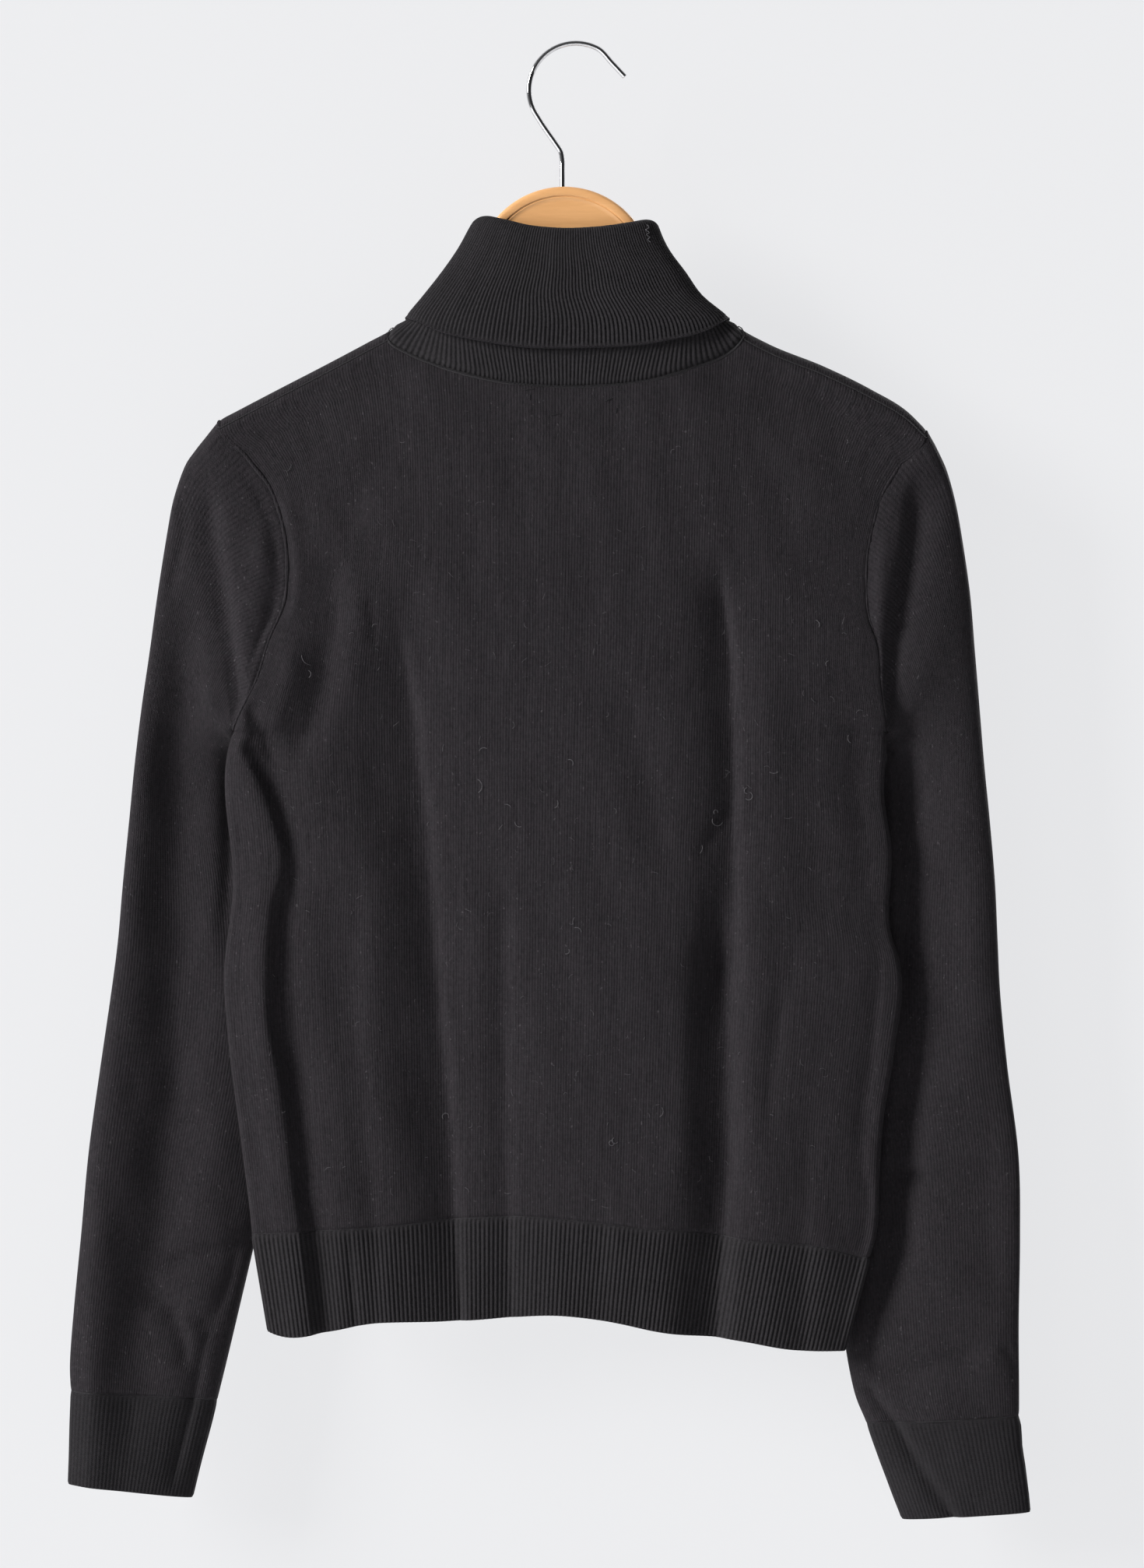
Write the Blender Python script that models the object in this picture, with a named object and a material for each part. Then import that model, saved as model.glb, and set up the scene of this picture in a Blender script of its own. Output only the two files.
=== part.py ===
"""Turtleneck sweater on a hanger, back towards -Y.

A fine-knit sweater hangs from the shoulders of a flat-headed wooden hanger with a bent wire hook.
The origin is the inner crown of the hook.  +Z is up, -X is the wearer's left sleeve, and the
sweater's back faces -Y.  All tables and sizes are in millimetres; meshes are made in metres.

Cut-and-sewn pieces: back, front, two sleeves, two rib cuffs, two rib hem bands, one folded rib collar.
"""

import math

import bmesh
import bpy
import numpy as np

MM = 0.001

# ---------------------------------------------------------------- driving sizes
JERSEY_WALL = 1.9        # thickness of the plain knit
RIB_WALL = 2.2           # thickness of the rib knit, from ridge to plain inside
RIB_RISE = 0.35          # a ridge stands out, and a groove sinks in, by this much
SEAM_GAP = 0.3           # space between two sewn pieces
ARMHOLE_SHIFT = 0.7 * SEAM_GAP   # each piece keeps this far from the slanting armhole seam
NECK_SHIFT = 0.6 * SEAM_GAP      # the body's pieces keep this far below the neck seam
CREST_RADIUS = 8.8       # outside of the cloth where it folds over the hanger's arms
UNDERARM_Z = -374.4
UNDERARM_ROUNDING = 12.0
EDGE_ROUNDING = 3.6      # radius of the cloth along the side seams
SEAM_BEHIND_CREST = 25.6  # degrees above level at which the shoulder seam lies, on the back
HEM_RIBS = 140           # across each hem band
CUFF_RIBS = 76           # around each cuff
COLLAR_RIBS = 130        # around the collar

# ---------------------------------------------------------------- outline of the body
# A row for each height on the body's edge: side seam up to the underarm, then the armhole seam.
LEFT_EDGE = {
    "z": [-715.0, -701.7, -661.3, -639.2, -595.4, -540.6, -507.5, -463.7, -374.4,
          -360.0, -348.5, -323.9, -304.3, -285.2, -265.6, -252.4, -239.3, -228.2, -214.2, -204.4],
    "x": [-163.5, -166.2, -173.8, -176.0, -181.5, -188.3, -190.4, -185.7, -185.3,
          -178.9, -173.0, -164.9, -156.8, -155.1, -156.8, -160.2, -165.8, -174.7, -185.3, -192.5],
}
RIGHT_EDGE = {
    "z": [-720.0, -710.6, -683.4, -667.7, -650.3, -617.5, -586.5, -551.7, -496.4, -487.9,
          -436.5, -409.7, -374.4, -351.1, -324.7, -312.4, -293.3, -278.8, -259.7, -245.7,
          -227.8, -213.8, -209.5],
    "x": [147.5, 149.6, 155.1, 160.7, 166.2, 168.3, 170.4, 176.0, 178.4, 175.5,
          174.7, 170.9, 172.1, 168.7, 166.2, 161.9, 160.2, 160.7, 164.5, 168.7,
          179.4, 187.4, 193.4],
}
# Top of the shoulders from the left tip to the right tip; inside the neck it only guides the form.
CREST = {
    "x": [-199.0, -192.5, -182.3, -159.4, -135.2, -110.9, -98.0, -80.0, 0.0,
          74.0, 91.0, 106.7, 138.1, 163.6, 183.6, 193.4, 199.0],
    "z": [-208.5, -204.4, -199.0, -187.0, -174.5, -161.6, -154.6, -140.0, -90.0,
          -140.0, -153.8, -162.4, -175.2, -187.7, -200.0, -209.5, -214.0],
}
# Line where the hem bands are sewn on, and their lower edge.
HEM_SEAM = {
    "x": [-172.6, -146.2, -98.2, -65.0, -23.4, 11.9, 40.4, 70.1, 94.8, 139.0, 158.5],
    "z": [-648.1, -646.9, -643.9, -640.5, -638.8, -641.8, -645.2, -647.3, -651.5, -655.8, -661.3],
}
HEM_EDGE = {
    "x": [-166.2, -159.4, -133.9, -108.4, -70.1, -31.9, -6.4, 19.1, 44.6, 70.1, 95.6, 121.1, 149.6],
    "z": [-701.7, -703.6, -701.7, -697.0, -696.2, -694.0, -692.8, -695.7, -700.4, -704.2,
          -707.2, -711.0, -712.0],
}
# Neck seam all round: angle 270 is the middle of the back, 180 the left crest, 90 the front.
NECK_SEAM = {
    "angle": [90, 110, 130, 148, 162, 172, 180, 192, 206, 222, 240, 255, 270, 285, 300, 318, 334,
              348, 360, 368, 378, 392, 410, 430, 450],
    "x": [-3.0, -32.0, -58.0, -78.0, -91.0, -96.0, -98.0, -100.5, -90.0, -70.0, -44.0, -24.0, -2.6,
          18.0, 38.0, 64.0, 84.0, 93.5, 91.0, 89.0, 84.0, 71.0, 51.0, 26.0, -3.0],
    "z": [-226.0, -221.0, -207.0, -188.0, -170.0, -158.0, -154.6, -161.2, -168.5, -176.8, -183.6,
          -186.4, -187.4, -186.6, -184.6, -177.6, -169.5, -160.0, -153.8, -157.5, -169.0, -187.0,
          -206.0, -220.0, -226.0],
}
NECK_JUNCTIONS = (192, 348)   # angles at which the neck seam meets the shoulder seams
NECK_HALF_WIDTH = 97.0
NECK_HALF_DEPTH = 16.0
NECK_SQUARENESS = 3.2         # 2 would be an ellipse

# Half of the body's depth at its middle, by height.
BODY_HALF_DEPTH = {
    "z": [-720.0, -640.0, -500.0, -350.0, -260.0, -200.0, -150.0],
    "back": [12.5, 12.5, 14.5, 16.0, 16.0, 15.0, 14.5],
    "front": [12.0, 12.5, 14.0, 15.5, 16.0, 15.5, 15.0],
}

# ---------------------------------------------------------------- folds of the body
# Each fold runs down from its first to its last station.  depth > 0 is a trough, < 0 a ridge.
BACK_FOLDS = [
    {"z": (-380, -480, -560, -701), "x": (-166, -157, -153, -139), "depth": 3.6, "width": 13},
    {"z": (-290, -400, -480, -560, -668), "x": (-93, -88, -78, -71, -63), "depth": 3.2, "width": 17},
    {"z": (-500, -600, -700), "x": (-38, -37, -33), "depth": 1.8, "width": 16},
    {"z": (-290, -380, -440, -520), "x": (83, 87, 87, 87), "depth": 3.2, "width": 14},
    {"z": (-500, -560, -640, -700), "x": (78, 79, 79, 77), "depth": 4.2, "width": 17},
    {"z": (-480, -570), "x": (118, 108), "depth": 1.6, "width": 14},
    {"z": (-380, -480, -640), "x": (-178, -172, -160), "depth": -1.6, "width": 9},
    {"z": (-290, -420, -600), "x": (-122, -118, -106), "depth": -1.4, "width": 18},
    {"z": (-330, -450, -640), "x": (104, 106, 104), "depth": -1.2, "width": 14},
]
FRONT_FOLDS = [
    {"z": (-300, -420, -560, -700), "x": (86, 84, 78, 74), "depth": 3.4, "width": 18},
    {"z": (-320, -480, -700), "x": (-82, -86, -80), "depth": 3.2, "width": 18},
    {"z": (-420, -560, -700), "x": (8, 4, 0), "depth": 2.0, "width": 20},
    {"z": (-280, -340, -430), "x": (-30, -18, -6), "depth": 1.8, "width": 22},
]

# ---------------------------------------------------------------- sleeves
# A row for each ring below the armhole: where it meets the sleeve's outer and inner line, how far
# it leans back there, half of its depth, and how much of the armhole seam's form it keeps.
RING_COLUMNS = ("outer_x", "outer_z", "inner_x", "inner_z", "outer_y", "inner_y", "half_depth",
                "seam_share")
LEFT_SLEEVE = [
    (-199.3, -212.9, -185.5, -374.4, 0.0, 0.0, 10.5, 0.85),
    (-206.1, -221.4, -185.5, -374.4, 0.5, 0.0, 11.0, 0.68),
    (-211.7, -229.9, -185.5, -374.4, 1.5, 0.0, 11.0, 0.50),
    (-217.6, -246.9, -185.5, -374.4, 2.5, 0.0, 11.0, 0.34),
    (-221.0, -263.9, -185.5, -374.4, 3.5, 0.0, 11.0, 0.20),
    (-226.5, -297.9, -188.2, -379.4, 4.5, 3.5, 11.0, 0.08),
    (-231.0, -330.0, -187.2, -385.6, 5.5, 8.5, 10.5, 0.02),
    (-235.5, -361.0, -183.5, -393.5, 6.0, 13.5, 10.5, 0.0),
    (-239.3, -392.0, -177.0, -406.5, 6.5, 18.0, 10.5, 0.0),
    (-242.5, -424.0, -168.0, -432.0, 7.0, 20.5, 10.5, 0.0),
    (-245.8, -457.0, -158.0, -461.0, 7.0, 21.5, 10.5, 0.0),
    (-248.6, -489.0, -151.5, -491.0, 7.0, 22.0, 10.5, 0.0),
    (-252.5, -519.0, -149.5, -520.0, 7.0, 22.0, 10.5, 0.0),
    (-258.2, -558.0, -153.0, -558.0, 7.0, 21.5, 10.5, 0.0),
    (-264.5, -604.0, -163.5, -606.0, 6.5, 20.0, 10.5, 0.0),
    (-268.5, -648.0, -173.0, -649.0, 6.0, 18.5, 10.5, 0.0),
    (-272.4, -689.0, -182.3, -689.0, 5.0, 17.0, 10.5, 0.0),
    (-274.6, -718.0, -189.5, -719.5, 5.0, 16.0, 10.5, 0.0),
]
LEFT_CUFF_SEAM = (-274.2, -734.4, -194.5, -740.0, 5.0, 15.0, 10.0, 0.0)
LEFT_CUFF_EDGE = (-275.4, -785.4, -208.3, -793.9, 5.0, 14.0, 9.5, 0.0)
RIGHT_SLEEVE = [
    (198.0, -217.5, 172.3, -374.4, 0.0, 0.0, 10.5, 0.85),
    (201.5, -224.5, 172.3, -374.4, 0.5, 0.0, 11.0, 0.68),
    (205.0, -232.5, 172.3, -374.4, 1.5, 0.0, 11.0, 0.50),
    (209.1, -246.9, 172.3, -374.4, 2.5, 0.0, 11.0, 0.34),
    (212.5, -263.9, 172.3, -374.4, 3.5, 0.0, 11.0, 0.20),
    (217.6, -297.9, 175.0, -379.4, 4.5, 3.5, 11.0, 0.08),
    (220.4, -330.0, 174.0, -385.6, 5.5, 8.5, 10.5, 0.02),
    (223.0, -361.0, 170.3, -393.5, 6.0, 13.5, 10.5, 0.0),
    (225.6, -392.0, 164.0, -406.5, 6.5, 18.0, 10.5, 0.0),
    (228.8, -424.0, 155.0, -432.0, 7.0, 20.5, 10.5, 0.0),
    (231.6, -457.0, 145.5, -461.0, 7.5, 22.0, 10.5, 0.0),
    (233.1, -489.0, 138.5, -491.0, 8.0, 22.5, 10.5, 0.0),
    (234.6, -519.0, 134.5, -520.0, 8.0, 22.5, 10.5, 0.0),
    (238.4, -558.0, 134.5, -558.0, 7.5, 22.0, 10.5, 0.0),
    (244.4, -606.0, 139.0, -608.0, 6.5, 20.5, 10.5, 0.0),
    (245.2, -651.0, 144.0, -653.0, 6.0, 19.0, 10.5, 0.0),
    (244.4, -697.0, 148.5, -700.0, 5.0, 17.0, 10.5, 0.0),
    (244.6, -731.0, 154.5, -734.5, 5.0, 16.0, 10.5, 0.0),
]
RIGHT_CUFF_SEAM = (244.6, -748.0, 161.5, -753.0, 5.0, 15.0, 10.0, 0.0)
RIGHT_CUFF_EDGE = (250.8, -800.7, 180.6, -805.8, 5.0, 14.0, 9.5, 0.0)

# ---------------------------------------------------------------- collar
# Outer face of the turned-down rib: middle and half width by height, and half depth.
COLLAR_FORM = {
    "z": [-200.0, -166.0, -149.2, -136.4, -123.7, -110.9, -98.2, -92.0],
    "middle": [-2.6, -2.6, -2.6, -5.1, -4.7, -4.9, -4.1, -3.0],
    "half_width": [97.0, 94.0, 88.5, 76.1, 66.7, 57.6, 51.2, 48.5],
    "half_depth": [20.5, 19.5, 18.6, 17.6, 16.6, 15.6, 14.6, 14.2],
}
# Height of the fold and of the free edge, by the same angles as the neck seam.
COLLAR_HEIGHTS = {
    "angle": [90, 120, 150, 168, 180, 200, 225, 250, 270, 290, 315, 340, 360, 372, 390, 420, 450],
    "fold_z": [-126.0, -118.0, -105.0, -98.0, -95.0, -93.5, -95.6, -99.5, -100.7, -99.8, -97.4, -95.6,
               -96.8, -99.0, -106.0, -118.0, -126.0],
    "edge_z": [-188.0, -178.0, -160.0, -151.0, -149.0, -151.0, -158.6, -164.6, -166.2, -165.0, -160.0,
               -152.0, -149.5, -151.0, -160.0, -178.0, -188.0],
}
COLLAR_SPACE = 1.3       # air between the standing and the turned-down rib

# ---------------------------------------------------------------- hanger and hook
HEAD_RADIUS = 48.8
HEAD_CENTRE = (-4.2, -126.0)
HANGER_THICKNESS = 12.0
HANGER_RIM = 5.2
HANGER_RECESS = 1.0
HANGER_EDGE_ROUNDING = 1.6
# Right half of the hanger's outline below the head, from its flank to the middle of its underside;
# the left half is its mirror image, a little longer.
HANGER_HALF = {
    "x": [54.0, 64.0, 78.0, 97.0, 120.0, 150.0, 172.0, 178.0, 179.0, 174.0, 150.0, 110.0, 70.0, 35.0],
    "z": [-139.0, -151.0, -160.5, -167.8, -176.8, -190.5, -203.0, -207.5, -213.0, -219.5, -211.0,
          -198.5, -187.0, -181.5],
}
WIRE_DIAMETER = 3.0
HOOK_CENTRE = (2.1, -24.1)
HOOK_RADIUS = 25.6
HOOK_LEFT_END_ANGLE = 214.0     # where the round stretch leaves for the shank
HOOK_RIGHT_END_ANGLE = 62.0     # where it leaves for the tip
HOOK_TIP = (28.9, -16.9)
SHANK_X = -5.3
SHANK_TOP_Z = -58.5
SHANK_BOTTOM_Z = -97.0
BORE_CLEARANCE = 0.35


# ---------------------------------------------------------------- small helpers
def smooth(at, keys, values):
    """Cubic curve through a table's rows, level slopes taken from the neighbouring rows."""
    keys = np.asarray(keys, float)
    values = np.asarray(values, float)
    slopes = np.gradient(values, keys)
    at = np.clip(np.asarray(at, float), keys[0], keys[-1])
    row = np.clip(np.searchsorted(keys, at) - 1, 0, len(keys) - 2)
    span = keys[row + 1] - keys[row]
    t = (at - keys[row]) / span
    rise = values[row + 1] - values[row]
    bend = (1 - t) * (slopes[row] * span - rise) - t * (slopes[row + 1] * span - rise)
    return values[row] + t * rise + t * (1 - t) * bend


def ease(t):
    """Rise smoothly from 0 to 1."""
    t = np.clip(t, 0.0, 1.0)
    return t * t * (3 - 2 * t)


def unit(vectors):
    """Vectors scaled to length one."""
    vectors = np.asarray(vectors, float)
    return vectors / np.linalg.norm(vectors, axis=-1, keepdims=True)


# ---------------------------------------------------------------- the body's surface
def left_x(z):
    return smooth(z, LEFT_EDGE["z"], LEFT_EDGE["x"])


def right_x(z):
    return smooth(z, RIGHT_EDGE["z"], RIGHT_EDGE["x"])


def crest_z(x):
    return smooth(x, CREST["x"], CREST["z"])


def across(x, z):
    """Place between the two edges: -1 on the left edge, +1 on the right one."""
    left, right = left_x(z), right_x(z)
    return np.clip((2 * x - left - right) / (right - left), -1.0, 1.0)


def fold_depth(face, x, z):
    """Sum of the folds' depths at a place on one face of the body."""
    total = np.zeros(np.broadcast(x, z).shape)
    for fold in BACK_FOLDS if face < 0 else FRONT_FOLDS:
        top, bottom = fold["z"][0], fold["z"][-1]
        line_x = smooth(-np.asarray(z), [-height for height in fold["z"]], fold["x"])
        reach = min(45.0, (top - bottom) / 3)
        length = ease((top + reach * 0.5 - z) / reach)
        if bottom > -690:
            length = length * ease((z - bottom + reach * 0.5) / reach)
        total = total + fold["depth"] * length * np.exp(-((x - line_x) / fold["width"]) ** 2)
    return total


def half_depth(face, x, z):
    """Distance of one face's outside from the plane Y = 0."""
    side = across(x, z)
    middle = smooth(z, BODY_HALF_DEPTH["z"], BODY_HALF_DEPTH["back" if face < 0 else "front"])
    from_edge = (1 - np.abs(side)) * (right_x(z) - left_x(z)) / 2
    turn = np.clip(from_edge / EDGE_ROUNDING, 0.0, 1.0)
    above = np.clip((z - UNDERARM_Z) / UNDERARM_ROUNDING, 0.0, 1.0)
    opened = np.sqrt(above * (2 - above))
    edge = EDGE_ROUNDING * np.sqrt(turn * (2 - turn)) * (1 - opened) + CREST_RADIUS * opened
    edge_full = EDGE_ROUNDING * (1 - opened) + CREST_RADIUS * opened
    profile = (1 - np.abs(side) ** 2.4) ** 0.8 if face < 0 else 1 - side ** 2
    below_crest = crest_z(x) - z
    settle = ease((below_crest - CREST_RADIUS) / 55.0)
    depth = edge + (middle - edge_full) * profile * np.where(z > UNDERARM_Z, settle, 1.0)
    depth = depth - fold_depth(face, x, z) * (1 - side ** 6) * ease((below_crest - 40) / 60)
    rise = np.clip(1 - below_crest / CREST_RADIUS, 0.0, 1.0)
    return depth * np.sqrt(1 - rise ** 2)


def body_point(face, x, z):
    """A point on the outside of the body's back (face -1) or front (face +1)."""
    x, z = np.broadcast_arrays(np.asarray(x, float), np.asarray(z, float))
    return np.stack([x, face * half_depth(face, x, z), z], axis=-1)


def body_inward(face, x, z):
    """Direction from the outside of the body's wall to its inside, level on the side edges."""
    step = 0.6
    slope_x = (half_depth(face, x + step, z) - half_depth(face, x - step, z)) / (2 * step)
    slope_z = (half_depth(face, x, z + step) - half_depth(face, x, z - step)) / (2 * step)
    side = across(x, z)
    on_edge = np.abs(side) > 0.9999
    direction = np.stack([np.clip(slope_x, -1.2, 1.2), -face * np.ones_like(side),
                          np.clip(slope_z, -1.0, 1.0)], axis=-1)
    level = np.stack([-np.sign(side), 0 * side, 0 * side], axis=-1)
    return unit(np.where(on_edge[..., None], level, direction))


def over_crest(x, angle):
    """A point on the cloth where it folds over an arm: 0 is the front, 90 the crest, 180 the back."""
    turn = np.radians(angle)
    z = crest_z(x) - CREST_RADIUS * (1 - np.sin(turn))
    return np.stack([x + 0 * z, CREST_RADIUS * np.cos(turn) + 0 * x, z], axis=-1)


# ---------------------------------------------------------------- the armhole seam
# Stations round an armhole: up the back to the shoulder seam, over the crest, down the front.
RISING = [0, 20, 40, 60, 80, 100, 120, 141]
OVER = [180 - SEAM_BEHIND_CREST, 116, 77, 38, 0]
OVER_ANGLES = [163, 172, 180, 189, 198]
FALLING = [219, 240, 260, 280, 300, 320, 340]
RING_ANGLES = RISING + OVER_ANGLES + FALLING


def armhole(side):
    """Points of the armhole seam on the cloth's outside, and directions through the wall."""
    edge_x = left_x if side < 0 else right_x
    tip_z = LEFT_EDGE["z"][-1] if side < 0 else RIGHT_EDGE["z"][-1]
    points = []
    for angle in RING_ANGLES:
        if angle in OVER_ANGLES:
            turn = OVER[OVER_ANGLES.index(angle)]
            points.append(list(over_crest(float(edge_x(tip_z)), turn)))
        else:
            share = (1 - math.cos(math.radians(angle))) / 2
            z = UNDERARM_Z + share * (tip_z - UNDERARM_Z)
            x = float(edge_x(z))
            face = -1 if angle < 180 else 1
            points.append(list(body_point(face, x, z)))
    points = np.array(points)
    along = np.roll(points, -1, axis=0) - np.roll(points, 1, axis=0)
    inward = np.stack([0 * along[:, 0], along[:, 2], -along[:, 1]], axis=-1)
    inward[0] = (-0.5 * side, 0, 1)
    return points, unit(inward)


# ---------------------------------------------------------------- meshes
def add_object(name, vertices, faces, material):
    """Make one closed body from points in millimetres and lists of corners."""
    mesh = bpy.data.meshes.new(name)
    mesh.from_pydata([tuple(v * MM for v in point) for point in vertices], [], faces)
    work = bmesh.new()
    work.from_mesh(mesh)
    bmesh.ops.triangulate(work, faces=work.faces)
    bmesh.ops.recalc_face_normals(work, faces=work.faces)
    work.to_mesh(mesh)
    work.free()
    mesh.shade_smooth()
    mesh.materials.append(material)
    piece = bpy.data.objects.new(name, mesh)
    bpy.context.scene.collection.objects.link(piece)
    return piece


def join_rows(first, second, closed):
    """Triangles between two rows of points that may differ in number."""
    steps_a = len(first) if closed else len(first) - 1
    steps_b = len(second) if closed else len(second) - 1
    faces = []
    a = b = 0
    while a < steps_a or b < steps_b:
        if b >= steps_b or (a < steps_a and (a + 1) * steps_b <= (b + 1) * steps_a):
            faces.append((first[a], first[(a + 1) % len(first)], second[b % len(second)]))
            a += 1
        else:
            faces.append((first[a % len(first)], second[(b + 1) % len(second)], second[b]))
            b += 1
    return faces


def wall(name, outside, inside, closed, material):
    """A wall from rows of outside and inside points; a row may be a ring, or share the last row's start."""
    vertices, rows = [], []
    for grid in (outside, inside):
        indexed = []
        for row in grid:
            shared = bool(indexed) and np.allclose(row[0], vertices[indexed[-1][0]], atol=1e-6)
            start = [indexed[-1][0]] if shared else [len(vertices)]
            added = row[1:] if shared else row
            following = len(vertices) + (0 if shared else 1)
            indexed.append(start + list(range(following, following + len(row) - 1)))
            vertices.extend(added)
        rows.append(indexed)
    faces = []
    for indexed in rows:
        for lower, upper in zip(indexed, indexed[1:]):
            faces.extend(join_rows(lower, upper, closed))
    faces.extend(join_rows(rows[0][0], rows[1][0], closed))
    faces.extend(join_rows(rows[0][-1], rows[1][-1], closed))
    if not closed:
        for end in (0, -1):
            outer_edge = [row[end] for row in rows[0]]
            inner_edge = [row[end] for row in rows[1]]
            faces.extend(join_rows(outer_edge, inner_edge, False))
    faces = [face for face in faces if len(set(face)) == len(face)]
    return add_object(name, vertices, faces, material)


def grid_inward(points, closed, towards):
    """Directions through the wall at each point of a grid, pointing to where `towards` says."""
    if closed:
        along = np.roll(points, -1, axis=1) - np.roll(points, 1, axis=1)
    else:
        along = np.gradient(points, axis=1)
    up = np.gradient(points, axis=0)
    normal = unit(np.cross(along, up))
    sign = np.sign(np.sum(normal * towards, axis=-1, keepdims=True))
    return normal * np.where(sign == 0, 1, sign)


# ---------------------------------------------------------------- back and front
SHOULDER_STEPS = [0.0, 0.012, 0.045, 0.2, 0.43, 0.72, 1.0]
BACK_NECK_ANGLES = [206, 220, 233, 245, 257, 270, 283, 295, 307, 320, 334]
FRONT_NECK_ANGLES = [186, 180, 174, 168, 160, 148, 131, 110, 90, 70, 49, 32, 20, 12, 6, 0, -6]
SIDE_SEAM_ROWS = 10
EDGE_PULL = 3.0          # how fast a column's bend fades away from the panel's edge
TOP_ROWS_HEIGHT = 15.0   # height of the rows next to the shoulder and neck seams


def round_neck(angle):
    """Place round the neck as shares of its half width and half depth, flat along front and back."""
    along = math.cos(math.radians(angle))
    deep = (1 - abs(along) ** NECK_SQUARENESS) ** (1 / NECK_SQUARENESS)
    return along, math.copysign(deep, math.sin(math.radians(angle)))


def neck_point(angle):
    """A point of the neck seam on the cloth's outside."""
    angle = (angle - 90) % 360 + 90
    x = smooth(angle, NECK_SEAM["angle"], NECK_SEAM["x"])
    z = smooth(angle, NECK_SEAM["angle"], NECK_SEAM["z"])
    z = np.minimum(z, crest_z(x))
    face = -1 if 180 < angle < 360 else 1
    return body_point(face, x, z)


def neck_inward(angle):
    """Direction through the wall at the neck seam: level at front and back, downwards at the crest."""
    along, deep = round_neck(angle)
    power = NECK_SQUARENESS - 1
    level_x = math.copysign(abs(along) ** power / NECK_HALF_WIDTH, -along)
    level_y = math.copysign(abs(deep) ** power / NECK_HALF_DEPTH, -deep)
    level = unit([level_x, level_y, 0.0])
    return unit(level + np.array([0, 0, -0.9]) * level[0] ** 2)


def neck_upward(angle):
    """Direction from the body into the collar, square to the neck seam and level with the wall."""
    along = neck_point(angle + 2) - neck_point(angle - 2)
    upward = unit(np.cross(along, neck_inward(angle)))
    return upward * (1 if upward[2] > 0 else -1)


def panel_columns(face):
    """Top ends of a panel's columns: points on the shoulder seams and the neck seam."""
    seam_turn = 180 - SEAM_BEHIND_CREST
    seam_turn += math.degrees(SEAM_GAP / 2 / CREST_RADIUS) * (1 if face < 0 else -1)
    columns = []
    for side, junction in ((-1, NECK_JUNCTIONS[0]), (1, NECK_JUNCTIONS[1])):
        ring, _ = armhole(side)
        tip_x = ring[RING_ANGLES.index(163)][0] - side * ARMHOLE_SHIFT
        neck_x = float(neck_point(junction)[0])
        shoulder = []
        for share in SHOULDER_STEPS:
            x = tip_x + share * (neck_x - tip_x)
            shoulder.append({"point": over_crest(x, seam_turn), "turn": seam_turn, "neck": None})
        columns.append(shoulder if side < 0 else shoulder[::-1])
    neck = []
    for angle in BACK_NECK_ANGLES if face < 0 else FRONT_NECK_ANGLES:
        point = neck_point(angle) - neck_upward(angle) * NECK_SHIFT
        neck.append({"point": point, "turn": None, "neck": angle})
    return columns[0] + neck + columns[1]


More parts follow.
